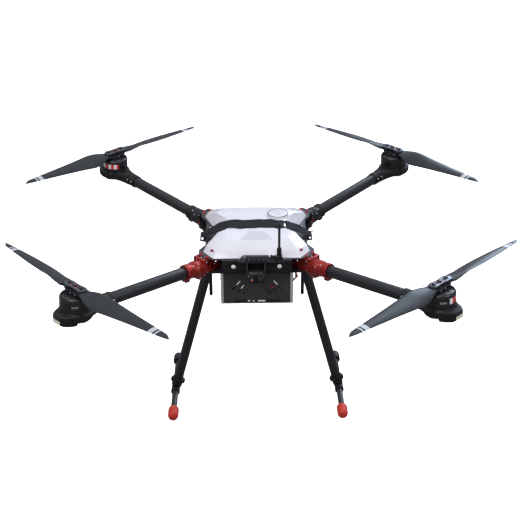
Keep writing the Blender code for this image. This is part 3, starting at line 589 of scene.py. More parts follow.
def motor_bell(corner):
    """The turning can of the motor, with its rims, ribbed top, screws and propeller seat."""
    shape = Shape()
    profile = [(0.0333, BELL_LOW), (BELL_R, BELL_LOW), (BELL_R, -0.0170), (0.0350, -0.0148),
               (0.0330, -0.0127), (0.0295, -0.0116), (0.0130, BELL_TOP), (0, BELL_TOP), (0, -0.0140),
               (0.0318, -0.0155), (0.0333, -0.0180)]
    shape.add(turned(profile, 72), "can", 0.0003)
    for low, high in ((-0.0372, -0.0352), (-0.0205, -0.0195)):
        shape.add(bush_solid(BELL_R - 0.0002, BELL_R + 0.0004, low, high, 72), "black")
    for i in range(12):
        turn = Matrix.Rotation(math.tau * i / 12, 4, "Z")
        shape.add(box_solid((0.0165, -0.0008, -0.0118), (0.0285, 0.0008, -0.0104)), "can", 0.0003, turn)
    for i in range(4):
        turn = Matrix.Rotation(math.tau * (i + 0.5) / 4, 4, "Z")
        shape.add(screw_solid(0.0016, 0.0012, "Z", (0.0122, 0, BELL_TOP)), "steel", 0, turn)
    shape.add(turned([(0, -0.0108), (0.0100, -0.0108), (0.0085, -0.0090), (0.0085, -0.0073), (0, -0.0073)]),
              "black", 0.0003)
    shape.piece("motor_can_" + corner, "rotor_" + corner, ("motor_bell_" + corner,), rotor_frame(corner))


def stadium(half_length, half_width, waist, steps=10):
    """A round-ended bar's outline, narrowed at its middle."""
    outline = []
    for side in (1, -1):
        for i in range(steps + 1):
            angle = (0 if side > 0 else math.pi) - math.pi / 2 + math.pi * i / steps
            x = side * (half_length - half_width) + half_width * math.cos(angle)
            outline.append((x, half_width * math.sin(angle)))
        outline.append((0, side * (half_width - waist)))
    return outline


def prop_hub(corner):
    """Two waisted plates that clamp the blade roots, with spacers, blade bolts and a centre post."""
    shape = Shape()
    bar = stadium(HUB_HALF, HUB_W, 0.0022)
    for low, high in HUB_PLATES:
        holes = [polygon(0.0026, 12, 0, (side * 0.0115, 0)) for side in (-1, 1)]
        shape.add(pierced(bar, holes, low, high), "plate_metal", 0.0005)
    for x, y in ((0.0085, 0.0068), (0.0085, -0.0068), (-0.0085, 0.0068), (-0.0085, -0.0068)):
        shape.add(disc_solid(0.0019, -0.0043, 0.0043, 12, "Z", (x, y, 0)), "dark_steel")
        shape.add(screw_solid(0.0020, 0.0010, "Z", (x, y, HUB_PLATES[1][1])), "red_screw")
    for side in (-1, 1):
        middle = (side * BLADE_PIVOT, 0, 0)
        shape.add(disc_solid(0.0030, -0.0068, 0.0072, 24, "Z", middle), "dark_steel")
        shape.add(bush_solid(0.0028, 0.0056, 0.0072, 0.0076, 32, "Z", middle), "dark_steel")
        shape.add(extruded(polygon(0.0048, 6, 0.4, middle[:2]), 0.0076, 0.0096), "black", 0.0004)
    shape.add(disc_solid(0.0066, -0.0075, 0.0080, 32), "black", 0.0006)
    shape.add(extruded(polygon(0.0044, 6), 0.0078, 0.0098), "dark_steel", 0.0004)
    shape.piece("propeller_hub_" + corner, "rotor_" + corner, ("prop_hub_" + corner,), rotor_frame(corner))


def blade_chord(radius):
    """Chord over the radius: it grows to its widest at a quarter of the way out, then narrows to the tip."""
    t = (radius - BLADE_PIVOT) / (PROP_TIP_R - BLADE_PIVOT)
    if t < BLADE_WIDEST:
        return ROOT_CHORD + (MOST_CHORD - ROOT_CHORD) * math.sin(t / BLADE_WIDEST * math.pi / 2) ** 0.9
    return MOST_CHORD - (MOST_CHORD - TIP_CHORD) * ((t - BLADE_WIDEST) / (1 - BLADE_WIDEST)) ** 1.1


def blade_section(radius, side):
    """The blade's cross-section, leading edge on +Y, on the same helix as the model's blade."""
    t = (radius - BLADE_PIVOT) / (PROP_TIP_R - BLADE_PIVOT)
    grow = min(1.0, max(0.0, (t - 0.05) / 0.17))
    tip = max(0.0, (t - 0.93) / 0.07)
    chord = blade_chord(radius)
    trimmed = chord * (1 - 0.72 * tip ** 1.6)
    pitch = grow * math.atan(PROP_ADVANCE / (math.tau * radius))
    thick = (0.0072 * (1 - grow) + (0.0062 - 0.0042 * t) * grow) * (1 - 0.5 * tip ** 3)
    camber = 0.045 * trimmed * grow
    leading = chord * (0.5 - 0.10 * grow) - (chord - trimmed) * 0.85
    points = []
    steps = 12
    for surface in (1, -1):
        for i in range(steps):
            u = (1 - math.cos(math.pi * i / steps)) / 2
            u = u if surface > 0 else 1 - u
            y = leading - trimmed * u
            bulge = 1 - (2 * u - 1) ** 2
            z = surface * thick / 2 * max(0.10, math.sqrt(bulge)) + camber * bulge
            points.append((radius - BLADE_PIVOT, side * (y * math.cos(pitch) - z * math.sin(pitch)),
                           y * math.sin(pitch) + z * math.cos(pitch)))
    return points


def blades(corner):
    """Both blades of a rotor, each made about its own fold bolt."""
    side = SPIN_UP_SIDE[corner]
    radii = [0.034 + 0.254 * (i / 26) ** 1.15 for i in range(27)]
    radii += [0.291, 0.2945, 0.2975, 0.3002, 0.3022, 0.3036, 0.3045, PROP_TIP_R]
    rotor = rotor_frame(corner)
    swing = math.radians(BLADE_SWING[corner])
    for letter, way, facing in (("a", 1, -swing), ("b", -1, math.pi + swing)):
        shape = Shape()
        shape.add(lofted([blade_section(radius, side) for radius in radii]), "blade")
        root = [(0, -0.0037), (0.0106, -0.0037), (0.0112, -0.0031), (0.0112, 0.0031), (0.0106, 0.0037),
                (0, 0.0037)]
        shape.add(turned(root, 40), "blade")
        shape.add(box_solid((0.002, -0.0104, -0.0036), (0.0135, 0.0104, 0.0036)), "blade", 0.0006)
        pivot = rotor @ Matrix.Translation((way * BLADE_PIVOT, 0, 0)) @ Matrix.Rotation(facing, 4, "Z")
        name = "blade_" + letter + "_" + corner
        shape.piece("propeller_" + name, name, (name,), pivot)


# ---------------------------------------------------------------- arms
TUBE_R = 0.015
PIN_DROP = (joint_point("collar_turn_fl") - joint_point("arm_fold_fl")).length
MOTOR_X = (arm_frame("fl").inverted() @ joint_point("rotor_spin_fl")).x
COLLAR_X = (0.007, 0.019)
SLEEVE_END = 0.047
ARM_AXIS = (0, 0, PIN_DROP)
CLAMP_START = MOTOR_X - 0.098


def arm_tube(corner):
    """Made with its own axis as X, so that its weave winds round it."""
    shape = Shape()
    shape.add(bush_solid(TUBE_R - 0.0015, TUBE_R, 0.006, MOTOR_X - 0.034, 72, "X"), "carbon_tube", 0.0003)
    place = arm_frame(corner) @ Matrix.Translation(ARM_AXIS)
    shape.piece("carbon_tube_" + corner, "arm_" + corner, ("arm_tube_" + corner,), place)


def joint_metal(corner):
    """The front joints are red and the rear ones are black."""
    return "red" if corner[0] == "f" else "black"


def fold_sleeve(corner):
    """The socket that holds the tube: a stepped sleeve, a seat for the locking ring, and two clamp lugs."""
    metal = joint_metal(corner)
    low, high = COLLAR_X[0] - 0.0005, COLLAR_X[1] + 0.0005
    profile = [(0.0153, 0.0005), (0.0210, 0.0005), (0.0210, low), (0.0176, low), (0.0176, high),
               (0.0198, high), (0.0195, high + 0.0018), (0.0186, high + 0.0022), (0.0186, 0.0345),
               (0.0196, 0.0350), (0.0196, 0.0455), (0.0188, SLEEVE_END), (0.0153, SLEEVE_END)]
    shape = Shape()
    shape.add(turned(profile, 72, "X", ARM_AXIS), metal, 0.0003)
    shape.add(disc_solid(0.0042, -0.0050, 0.0050, 32, "Y"), metal, 0.0004)
    shape.add(box_solid((0.0005, -0.0048, -0.002), (low, 0.0048, 0.0075)), metal, 0.0004)
    drop = PIN_DROP - 0.0186
    for side in (-1, 1):
        lug = box_solid((0.0325, side * 0.0008, drop - 0.0062),
                        (SLEEVE_END - 0.0006, side * 0.0078, drop + 0.004))
        shape.add(lug, metal, 0.0008)
        for x in (0.0362, 0.0430):
            shape.add(screw_solid(0.0021, 0.0014, "Y", (x, side * 0.0078, drop - 0.0026), side), "black")
        for angle in (35, 145):
            turn = Matrix.Rotation(math.radians(side * angle), 4, "X")
            shape.add(screw_solid(0.0017, 0.0012, "Z", (0.0265, 0, 0.0184)), "steel", 0,
                      Matrix.Translation(ARM_AXIS) @ turn)
    shape.piece("tube_socket_" + corner, "arm_" + corner, ("fold_sleeve_" + corner,), arm_frame(corner))


def lock_collar(corner):
    """A ring with finger notches round its outside."""
    metal = joint_metal(corner)
    notches = 60
    rings = []
    low, high = COLLAR_X
    for radius, x in ((0.0179, low), (0.0204, low), (0.0211, low + 0.0010), (0.0211, high - 0.0010),
                      (0.0204, high), (0.0179, high)):
        ring = []
        for i in range(notches * 2):
            angle = math.pi * i / notches
            grip = 0.00045 * (1 + math.cos(angle * 12)) / 2 if radius > 0.0205 else 0.0
            ring.append((x, (radius - grip) * math.cos(angle), (radius - grip) * math.sin(angle)))
        rings.append(ring)
    shape = Shape()
    shape.add(lofted(rings, closed=True), metal)
    for angle in (60, 180, 300):
        turn = Matrix.Rotation(math.radians(angle), 4, "X")
        shape.add(screw_solid(0.0014, 0.0006, "Z", (0.013, 0, 0.0206)), "steel", 0, turn)
    place = arm_frame(corner) @ Matrix.Translation(ARM_AXIS)
    shape.piece("locking_ring_" + corner, "collar_" + corner, ("lock_collar_" + corner,), place)


def oval_ring(x, half_y, low, high, sides=48):
    """A superellipse section of the motor mount's neck, across X."""
    ring = []
    for i in range(sides):
        c, s = math.cos(math.tau * i / sides), math.sin(math.tau * i / sides)
        y = half_y * math.copysign(abs(c) ** 0.85, c)
        z = (low + high) / 2 + (high - low) / 2 * math.copysign(abs(s) ** 0.85, s)
        ring.append((x, y, z))
    return ring


def motor_mount(corner):
    """The tube clamp, the bowl with its ribs and lamp, and the seat of the motor."""
    shape = Shape()
    centre = (MOTOR_X, 0, PIN_DROP)
    bowl = [(0, -0.0200), (0.0190, -0.0200), (0.0265, -0.0182), (0.0335, -0.0138), (0.0388, -0.0060),
            (0.0405, -0.0010), (0.0405, 0.0035), (0.0392, 0.0055), (0.0368, 0.0075), (0.0360, 0.0168),
            (0.0300, 0.0172), (0.0300, 0.0350), (0.0060, 0.0350), (0, 0.0350)]
    shape.add(turned(bowl, 72, "Z", centre), "black", 0.0005)
    z = PIN_DROP
    neck = [oval_ring(CLAMP_START + 0.026, 0.0176, z - 0.0174, z + 0.0176),
            oval_ring(MOTOR_X - 0.060, 0.0190, z - 0.0172, z + 0.0174),
            oval_ring(MOTOR_X - 0.045, 0.0240, z - 0.0168, z + 0.0170),
            oval_ring(MOTOR_X - 0.030, 0.0310, z - 0.0160, z + 0.0160),
            oval_ring(MOTOR_X - 0.012, 0.0360, z - 0.0140, z + 0.0120)]
    shape.add(lofted(neck), "black", 0.0004)
    clamp = [(0.0153, CLAMP_START), (0.0168, CLAMP_START), (0.0178, CLAMP_START + 0.0015),
             (0.0178, CLAMP_START + 0.0085), (0.0170, CLAMP_START + 0.0095), (0.0170, CLAMP_START + 0.0150),
             (0.0178, CLAMP_START + 0.0160), (0.0178, CLAMP_START + 0.0275), (0.0153, CLAMP_START + 0.0275)]
    shape.add(turned(clamp, 64, "X", ARM_AXIS), "black", 0.0003)
    for side in (-1, 1):
        for start in (CLAMP_START + 0.001, CLAMP_START + 0.0175):
            ear = box_solid((start, side * 0.0135, z - 0.0050), (start + 0.0085, side * 0.0200, z + 0.0050))
            shape.add(ear, "black", 0.0010)
            for way in (-1, 1):
                middle = (start + 0.0042, side * 0.0170, z + way * 0.0050)
                shape.add(screw_solid(0.0021, 0.0016, "Z", middle, way), "steel")
    nose = [(0.020, 0.0330), (0.0340, 0.0290), (0.0460, 0.0205), (0.0520, 0.0135)]
    outline = [(MOTOR_X + x, y) for x, y in nose] + [(MOTOR_X + x, -y) for x, y in reversed(nose)]
    lower = [(MOTOR_X + (x - MOTOR_X) * 0.86 - 0.001, y * 0.84) for x, y in outline]
    chin = lofted([[(x, y, z - 0.0215) for x, y in lower], [(x, y, z - 0.0150) for x, y in outline],
                   [(x, y, z + 0.0030) for x, y in outline], [(x, y, z + 0.0068) for x, y in lower]])
    shape.add(chin, "black", 0.0008)
    face = MOTOR_X + 0.0520
    window = box_solid((face - 0.004, -0.0125, z - 0.0148), (face + 0.0008, 0.0125, z - 0.0062))
    shape.add(window, "pod_lens", 0.0009)
    brow = box_solid((face - 0.004, -0.0110, z - 0.0048), (face + 0.0004, 0.0110, z + 0.0010))
    shape.add(brow, "can", 0.0008)
    for side in (-1, 1):
        for i in range(10):
            turn = Matrix.Translation(centre) @ Matrix.Rotation(side * math.radians(52 + 8 * i), 4, "Z")
            rib = [(0.0300, -0.0186), (0.0350, -0.0140), (0.0402, -0.0058), (0.0417, -0.0010),
                   (0.0417, 0.0030), (0.0370, 0.0050)]
            fin = extruded([(height, radius) for radius, height in rib], -0.0008, 0.0008, "Y")
            shape.add(fin, "black", 0, turn)
    shape.add(bush_solid(0.0290, 0.0312, 0.0172, 0.0200, 72, "Z", centre), "can", 0.0004)
    shape.piece("motor_pod_" + corner, "arm_" + corner, ("motor_mount_" + corner,), arm_frame(corner))


# ---------------------------------------------------------------- arm brackets
DECK_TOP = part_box("bottom_plate")[1].z
ROOF_LOW, ROOF_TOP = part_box("top_plate")[0].z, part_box("top_plate")[1].z
CAGE_IN, CAGE_OUT, CAGE_HALF = -0.068, -0.007, 0.021


def level_frame(corner):
    """The arm's frame, turned level about the fold pin."""
    along = joint_axis("collar_turn_" + corner)
    return frame_matrix(joint_point("arm_fold_" + corner), (along.x, along.y, 0), (0, 0, 1))


def truss_windows(start, end, low, high, count, web):
    """Triangular windows in a row, as outlines of (z, x), with sloping webs between them."""
    step = (end - start) / count
    windows = []
    for i in range(count - 1):
        left = start + i * step
        near, far = left + step * 0.30 + web, left + step * 1.70 - web
        base, tip = (high, low) if i % 2 else (low, high)
        windows.append([(base, near), (base, far), (tip, left + step)])
    return windows


def fold_bracket(corner):
    """A skeleton cage between the plates, with the face plate, ears and pin of the hinge."""
    metal = joint_metal(corner)
    pin = joint_point("arm_fold_" + corner).z
    low, high = DECK_TOP + 0.0003 - pin, ROOF_LOW - 0.0003 - pin
    level = level_frame(corner)
    shape = Shape()
    windows = truss_windows(CAGE_IN + 0.003, CAGE_OUT - 0.002, low + 0.0055, high - 0.0055, 5, 0.0015)
    outline = [(low, CAGE_IN + 0.006), (low, CAGE_OUT), (high, CAGE_OUT), (high, CAGE_IN + 0.006),
               (high - 0.007, CAGE_IN), (low + 0.007, CAGE_IN)]
    for side in (-1, 1):
        wall = pierced(outline, windows, side * (CAGE_HALF - 0.0032), side * CAGE_HALF, "Y")
        shape.add(wall, metal, 0.0005, level)
        ends = [Vector((CAGE_IN + 0.004, side * 0.010, high - 0.002)),
                Vector((-0.009, side * 0.017, low + 0.004))]
        shape.add(swept(ends, 0.0015, 10), "red", 0, level)
    slots = [[(x, -0.0120), (x + 0.0125, -0.0120), (x + 0.0125, 0.0120), (x, 0.0120)]
             for x in (CAGE_IN + 0.005, CAGE_IN + 0.0225, CAGE_IN + 0.040)]
    deck = [(CAGE_IN + 0.002, -CAGE_HALF), (CAGE_OUT, -CAGE_HALF), (CAGE_OUT, CAGE_HALF),
            (CAGE_IN + 0.002, CAGE_HALF)]
    for start in (low, high - 0.0030):
        shape.add(pierced(deck, slots, start, start + 0.0030), metal, 0.0005, level)
    place = arm_frame(corner)
    face = pierced(polygon(0.0225, 64, 0, (0, PIN_DROP)), [polygon(0.0140, 48, 0, (0, PIN_DROP))],
                   -0.0088, -0.0004, "X")
    shape.add(face, metal, 0.0006, place)
    shape.add(bush_solid(0.0205, 0.0225, -0.0115, -0.0075, 64, "X", ARM_AXIS), "red", 0.0004, place)
    chin = [(-0.0093, -0.0036), (-0.0056, -0.0042), (-0.0053, 0.0090), (-0.0093, 0.0090)]
    for side in (-1, 1):
        ear = [(side * y, z) for y, z in chin]
        shape.add(extruded(ear, -0.0088, -0.0004, "X"), metal, 0.0004, place)
        shape.add(disc_solid(0.0042, side * 0.0053, side * 0.0093, 32, "Y"), metal, 0.0004, place)
        shape.add(screw_solid(0.0030, 0.0014, "Y", (0, side * 0.0093, 0), side), "steel", 0, place)
        for height in (low + 0.0045, high - 0.0045):
            middle = (CAGE_OUT - 0.006, side * CAGE_HALF, height)
            shape.add(screw_solid(0.0020, 0.0010, "Y", middle, side), "steel", 0, level)
    shape.add(disc_solid(0.0022, -0.0105, 0.0105, 20, "Y"), "steel", 0.0003, place)
    shape.piece("joint_bracket_" + corner, "airframe", ("fold_bracket_" + corner,), None)


# ---------------------------------------------------------------- airframe
CANOPY_LOW, CANOPY_HIGH = (corner.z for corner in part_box("canopy"))
FRONT_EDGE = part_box("canopy")[0].y
REAR_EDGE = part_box("canopy")[1].y
STRAP_LOW, STRAP_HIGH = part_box("battery_strap")


def corner_screws():
    """Red screws through the plates at each arm, and silver ones at the waist."""
    shape = Shape()
    for corner in CORNERS:
        along = joint_axis("collar_turn_" + corner)
        along = Vector((along.x, along.y, 0)).normalized()
        across = Vector((-along.y, along.x, 0))
        for reach, offset in ((0.1825, 0.0112), (0.1825, -0.0112), (0.150, 0.0165), (0.150, -0.0165)):
            spot = along * reach + across * offset
            top = Vector((spot.x, spot.y, ROOF_TOP))
            shape.add(turned([(0, 0), (0.0042, 0), (0.0042, 0.0007), (0, 0.0007)], 24, "Z", top), "red")
            shape.add(screw_solid(0.0030, 0.0030, "Z", top + Vector((0, 0, 0.0005))), "red_screw")
            under = Vector((spot.x, spot.y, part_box("bottom_plate")[0].z))
            shape.add(screw_solid(0.0030, 0.0020, "Z", under, -1), "steel")
    for x in (-0.118, 0.118):
        for y in (-0.055, 0.030):
            shape.add(screw_solid(0.0026, 0.0018, "Z", (x, y, ROOF_TOP)), "steel")
    shape.piece("plate_screws", "airframe", (), None)


def plate_spacers():
    """Round posts between the two plates at the waist."""
    shape = Shape()
    for side in (-1, 1):
        for y in (-0.058, 0.062):
            middle = (side * 0.119, y, 0)
            shape.add(disc_solid(0.0038, DECK_TOP, ROOF_LOW, 24, "Z", middle), "black", 0.0003)
            shape.add(bush_solid(0.0036, 0.0043, DECK_TOP + 0.012, DECK_TOP + 0.022, 24, "Z", middle), "red")
    shape.piece("plate_spacers", "airframe", (), None)


def canopy_points():
    """Corners of the cover's facets on its right side, nose first. Each ring is rim, shoulder or roof."""
    z0, z1, z2 = CANOPY_LOW, CANOPY_LOW + 0.0125, CANOPY_HIGH
    return {
        "rim": [(0.0, FRONT_EDGE + 0.004, z0), (0.034, FRONT_EDGE + 0.004, z0), (0.040, FRONT_EDGE, z0),
                (0.1065, FRONT_EDGE, z0), (0.1320, -0.1070, z0), (0.1020, -0.0450, z0), (0.1020, 0.0120, z0),
                (0.1330, 0.0950, z0), (0.1310, 0.1120, z0), (0.1120, REAR_EDGE, z0), (0.0, REAR_EDGE, z0)],
        "shoulder": [(0.0, FRONT_EDGE + 0.016, z1), (0.031, FRONT_EDGE + 0.016, z1),
                     (0.037, FRONT_EDGE + 0.012, z1 - 0.001), (0.0985, FRONT_EDGE + 0.012, z1),
                     (0.1240, -0.0960, z1), (0.0950, -0.0450, z1), (0.0950, 0.0120, z1),
                     (0.1245, 0.0870, z1), (0.1225, 0.1010, z1), (0.1040, REAR_EDGE - 0.013, z1),
                     (0.0, REAR_EDGE - 0.013, z1)],
        "roof": [(0.0, -0.0985, z2 - 0.0060), (0.042, -0.0985, z2 - 0.0060), (0.062, -0.0960, z2 - 0.0035),
                 (0.0765, -0.0950, z2 - 0.0015), (0.0960, -0.0640, z2 - 0.0012), (0.0730, -0.0450, z2),
                 (0.0730, 0.0120, z2), (0.0990, 0.0450, z2 - 0.0010), (0.0985, 0.0620, z2 - 0.0015),
                 (0.0790, REAR_EDGE - 0.050, z2 - 0.0020), (0.0, REAR_EDGE - 0.050, z2)],
    }


def canopy():
    """The faceted white cover, 1.6 mm thick, with a sunken trapezoid on its nose, whose upward facets get a
    greyer copy of the white as painted shade.
    """
    points = canopy_points()
    solid = bmesh.new()
    rings = {}
    for name, ring in points.items():
        right = [solid.verts.new(point) for point in ring]
        left = [solid.verts.new((-x, y, z)) for x, y, z in ring[1:-1]]
        rings[name] = right + left[::-1]
    count = len(rings["rim"])
    for lower, upper in (("rim", "shoulder"), ("shoulder", "roof")):
        for i in range(count):
            j = (i + 1) % count
            solid.faces.new((rings[lower][i], rings[lower][j], rings[upper][j], rings[upper][i]))
    roof = rings["roof"]
    waist_right, waist_left = roof[5], roof[count - 5]
    ridge = [solid.verts.new((x, -0.0560, CANOPY_HIGH - 0.0042)) for x in (0.022, -0.022)]
    crest = solid.verts.new((0.0, -0.0450, CANOPY_HIGH))
    solid.faces.new((roof[0], roof[1], ridge[0], ridge[1], roof[count - 1]))
    solid.faces.new((roof[1], roof[2], roof[3], waist_right, ridge[0]))
    solid.faces.new((roof[3], roof[4], waist_right))
    solid.faces.new((ridge[0], waist_right, crest))
    solid.faces.new((ridge[1], ridge[0], crest))
    solid.faces.new((ridge[1], crest, waist_left))
    solid.faces.new((roof[count - 1], ridge[1], waist_left, roof[count - 3], roof[count - 2]))
    solid.faces.new((roof[count - 3], waist_left, roof[count - 4]))
    solid.faces.new((crest, waist_right, roof[6], roof[count - 6], waist_left))
    solid.faces.new((roof[6], roof[7], roof[8], roof[9], roof[10], roof[11], roof[12], roof[13], roof[14]))
    bmesh.ops.recalc_face_normals(solid, faces=solid.faces)
    if solid.faces[0].normal.z < 0:
        bmesh.ops.reverse_faces(solid, faces=solid.faces)
    creases = [edge for edge in solid.edges
               if edge.is_manifold and edge.calc_face_angle(0) > math.radians(6)]
    bmesh.ops.bevel(solid, geom=creases, offset=0.0016, segments=2, profile=0.5, affect="EDGES",
                    clamp_overlap=True)
    shape = Shape()
    data = bpy.data.meshes.new("skin")
    solid.to_mesh(data)
    solid.free()
    skin = bpy.data.objects.new("skin", data)
    bpy.context.scene.collection.objects.link(skin)
    wall = skin.modifiers.new("wall", "SOLIDIFY")
    wall.thickness = 0.0016
    wall.offset = -1.0
    graph = bpy.context.evaluated_depsgraph_get()
    thick = bmesh.new()
    thick.from_mesh(skin.evaluated_get(graph).to_mesh())
    bpy.data.objects.remove(skin, do_unlink=True)
    bpy.data.meshes.remove(data)
    shape.add(thick, "white")
    made = shape.piece("cover", "airframe", ("canopy",), None)
    # Painted shade: the upward facets of the nose's trapezoid take the greyer copy of the white.
    made.data.materials.append(FINISH["white_painted_shade"])
    for face in made.data.polygons:
        reach = -face.center.y - 0.0550
        if 0 < reach < 0.0440 and abs(face.center.x) < 0.024 + 0.4 * reach and face.normal.z > 0.4:
            face.material_index = 1


def cover_screws():
    """Dark red slots with a screw in each, at the cover's front corners."""
    shape = Shape()
    for side in (-1, 1):
        slope = Matrix.Rotation(math.radians(side * 28), 4, "Y") @ Matrix.Rotation(math.radians(20), 4, "X")
        place = Matrix.Translation((side * 0.1090, -0.1230, CANOPY_LOW + 0.0107)) @ slope
        place = place @ Matrix.Rotation(math.radians(side * 52), 4, "Z")
        rim = pierced(stadium(0.0056, 0.0030, 0.0), [stadium(0.0046, 0.0020, 0.0)], -0.0015, 0.0007)
        shape.add(rim, "red", 0.0002, place)
        shape.add(extruded(stadium(0.0047, 0.0021, 0.0), -0.0015, 0.0001), "dark_ring", 0, place)
        shape.add(screw_solid(0.0016, 0.0009, "Z", (0.0014, 0, 0)), "red_screw", 0, place)
    shape.piece("cover_screws", "airframe", (), None)


def strap_height(x):
    """Underside of the strap over the cover, with slack and folds in it."""
    top = STRAP_HIGH.z - 0.0030
    ears = STRAP_LOW.z + 0.0010
    reach = abs(x)
    if reach < 0.070:
        height = top
    elif reach < 0.104:
        height = top - (top - ears) * 0.42 * (reach - 0.070) / 0.034
    else:
        height = top - (top - ears) * (0.42 + 0.58 * (reach - 0.104) / 0.0355)
    slack = 0.0011 * min(1.0, (x - 0.036) / 0.010) if x > 0.036 else 0.0
    return height - slack


def battery_strap():
    """Black webbing from ear to ear, rippled where it lies on the cover."""
    half_length, width, thick = 0.1395, 0.0490, 0.0018
    middle = (STRAP_LOW.y + STRAP_HIGH.y) / 2
    along, across = 150, 14
    rings = []
    for i in range(along + 1):
        x = -half_length + 2 * half_length * i / along
        nearby = [max(-half_length, min(half_length, x + 0.003 * step)) for step in range(-2, 3)]
        base = sum(strap_height(near) for near in nearby) / len(nearby)
        calm = min(1.0, (half_length - abs(x)) / 0.02)
        pinch = max(0.0, (abs(x) - 0.095) / 0.0445) ** 1.2
        wander = 0.0016 * math.sin(x * 70 + 0.6) * calm + 0.0009 * math.sin(x * 190) * calm
        top, bottom = [], []
        for k in range(across + 1):
            v = k / across - 0.5
            edge = abs(v) * 2
            ripple = 0.0007 * math.sin(x * 150 + v * 5) * edge ** 2 * calm
            ripple += 0.0004 * math.sin(x * 85 + v * 9) * calm
            y = middle + wander + v * width * (1 - 0.02 * math.sin(x * 60) ** 2 - 0.34 * pinch)
            z = base + 0.0006 + max(ripple, -0.0004)
            bottom.append((x, y, z))
            top.append((x, y, z + thick * (1 - 0.45 * edge ** 8)))
        rings.append(bottom + top[::-1])
    shape = Shape()
    shape.add(lofted(rings), "webbing")
    made = shape.piece("strap", "airframe", ("battery_strap",), None)


def strap_hardware():
    """The slider on top of the strap, the wire buckle at its right end, and a rim round each slot."""
    shape = Shape()
    x, y, z = 0.058, STRAP_LOW.y + 0.012, STRAP_HIGH.z - 0.0004
    openings = [rectangle(x - 0.0052, x + 0.0052, y - 0.0078, y - 0.0014),
                rectangle(x - 0.0052, x + 0.0052, y + 0.0014, y + 0.0078)]
    slider = rectangle(x - 0.0075, x + 0.0075, y - 0.010, y + 0.010)
    shape.add(pierced(slider, openings, z - 0.0010, z + 0.0012), "plastic", 0.0005)
    fold = box_solid((x - 0.0045, y - 0.0070, z - 0.0012), (x + 0.0045, y + 0.0070, z + 0.0002))
    shape.add(fold, "webbing", 0.0004)
    middle_y = (STRAP_LOW.y + STRAP_HIGH.y) / 2
    corner = Vector((0.1375, middle_y, STRAP_LOW.z + 0.0035))
    loop = []
    for i in range(25):
        c, s = math.cos(math.tau * i / 24), math.sin(math.tau * i / 24)
        reach = 0.6 + 0.4 / max(abs(c), abs(s))
        loop.append(corner + Vector((0.0030 + 0.0062 * c * reach, 0.0125 * s * reach, 0.0035 * c - 0.0015)))
    shape.add(swept(loop, 0.0012, 10), "steel")
    pin = [corner + Vector((0.0010, across, 0.0008)) for across in (-0.011, 0.011)]
    shape.add(swept(pin, 0.0011, 10), "steel")
    for side in (-1, 1):
        slot_x = side * 0.1362
        outer = rectangle(slot_x - 0.0040, slot_x + 0.0046, middle_y - 0.0215, middle_y + 0.0215)
        inner = rectangle(slot_x - 0.0020, slot_x + 0.0022, middle_y - 0.0190, middle_y + 0.0190)
        shape.add(pierced(outer, [inner], ROOF_TOP, ROOF_TOP + 0.0008), "black", 0.0003)
    shape.piece("strap_buckles", "airframe", (), None)


def gps_puck():
    """The round receiver: a low dome, a dark ring, three plain bars and an arrow towards the nose."""
    low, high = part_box("gps_puck")
    centre = Vector(((low.x + high.x) / 2, (low.y + high.y) / 2, low.z))
    tall = high.z - low.z
    shape = Shape()
    dome = [(0, 0), (0.0270, 0), (0.0275, 0.0012), (0.0264, 0.0032), (0.0250, tall - 0.0013),
            (0.0235, tall - 0.0008), (0.0205, tall - 0.0003), (0, tall - 0.0002)]
    shape.add(turned(dome, 96, "Z", centre), "white")
    shape.add(bush_solid(0.0245, 0.0262, tall - 0.0030, tall - 0.0010, 96, "Z", centre), "dark_ring", 0.0002)
    arrow = [(0.0, -0.0150), (0.0022, -0.0115), (0.0007, -0.0120), (0.0007, -0.0085), (-0.0007, -0.0085),
             (-0.0007, -0.0120), (-0.0022, -0.0115)]
    shape.add(extruded([(centre.x + x, centre.y + y) for x, y in arrow], high.z - 0.0008, high.z - 0.00005),
              "dark_ring")
    for x, half in ((-0.0050, 0.0022), (0.0, 0.0018), (0.0048, 0.0020)):
        x += centre.x
        bar = rectangle(x - half, x + half, centre.y + 0.0030, centre.y + 0.0042)
        shape.add(extruded(bar, high.z - 0.0008, high.z - 0.00005), "grey")
    shape.piece("position_receiver", "airframe", ("gps_puck",), None)


def front_beam():
    """The beam under the nose, with two round lamps, four cooling slots and a ledge."""
    low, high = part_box("front_beam")
    back, front, half = high.y, low.y, high.x
    shape = Shape()
    outline = [(-half, low.z + 0.006), (-half + 0.010, low.z), (half - 0.010, low.z), (half, low.z + 0.006),
               (half, high.z), (-half, high.z)]
    lamps = [(x, low.z + 0.0210) for x in (-0.057, 0.055)]
    holes = [polygon(0.0064, 40, 0, (z, x)) for x, z in lamps]
    for middle in (-0.026, -0.009, 0.009, 0.026):
        holes.append([(low.z + 0.0060, middle - 0.0055), (low.z + 0.0060, middle + 0.0055),
                      (low.z + 0.0085, middle + 0.0055), (low.z + 0.0085, middle - 0.0055)])
    shape.add(pierced([(z, x) for x, z in outline], holes, front, back, "Y"), "black", 0.0006)
    lens = [(0, front + 0.004), (0.0060, front + 0.004), (0.0060, front - 0.0006),
            (0.0045, front - 0.0014), (0, front - 0.0018)]
    for x, z in lamps:
        spot = (x, 0, z)
        rim = bush_solid(0.0058, 0.0072, front - 0.0012, front + 0.0030, 48, "Y", spot)
        shape.add(rim, "black", 0.0004)
        shape.add(turned(lens, 48, "Y", spot), "lamp")
        shape.add(bush_solid(0.0048, 0.0059, front - 0.0012, front - 0.0006, 40, "Y", spot), "steel")
        core = disc_solid(0.0020, front - 0.0022, front - 0.0012, 24, "Y", spot)
        shape.add(core, "lamp_core", 0.0003)
    for x in (-0.078, -0.066, 0.066, 0.078):
        shape.add(screw_solid(0.0019, 0.0012, "Y", (x, front, low.z + 0.029), -1), "black")
    ledge = box_solid((-0.052, front - 0.0035, low.z + 0.0005), (0.052, front, low.z + 0.0035))
    shape.add(ledge, "black", 0.0006)
    shape.piece("nose_beam", "airframe", ("front_beam",), None)


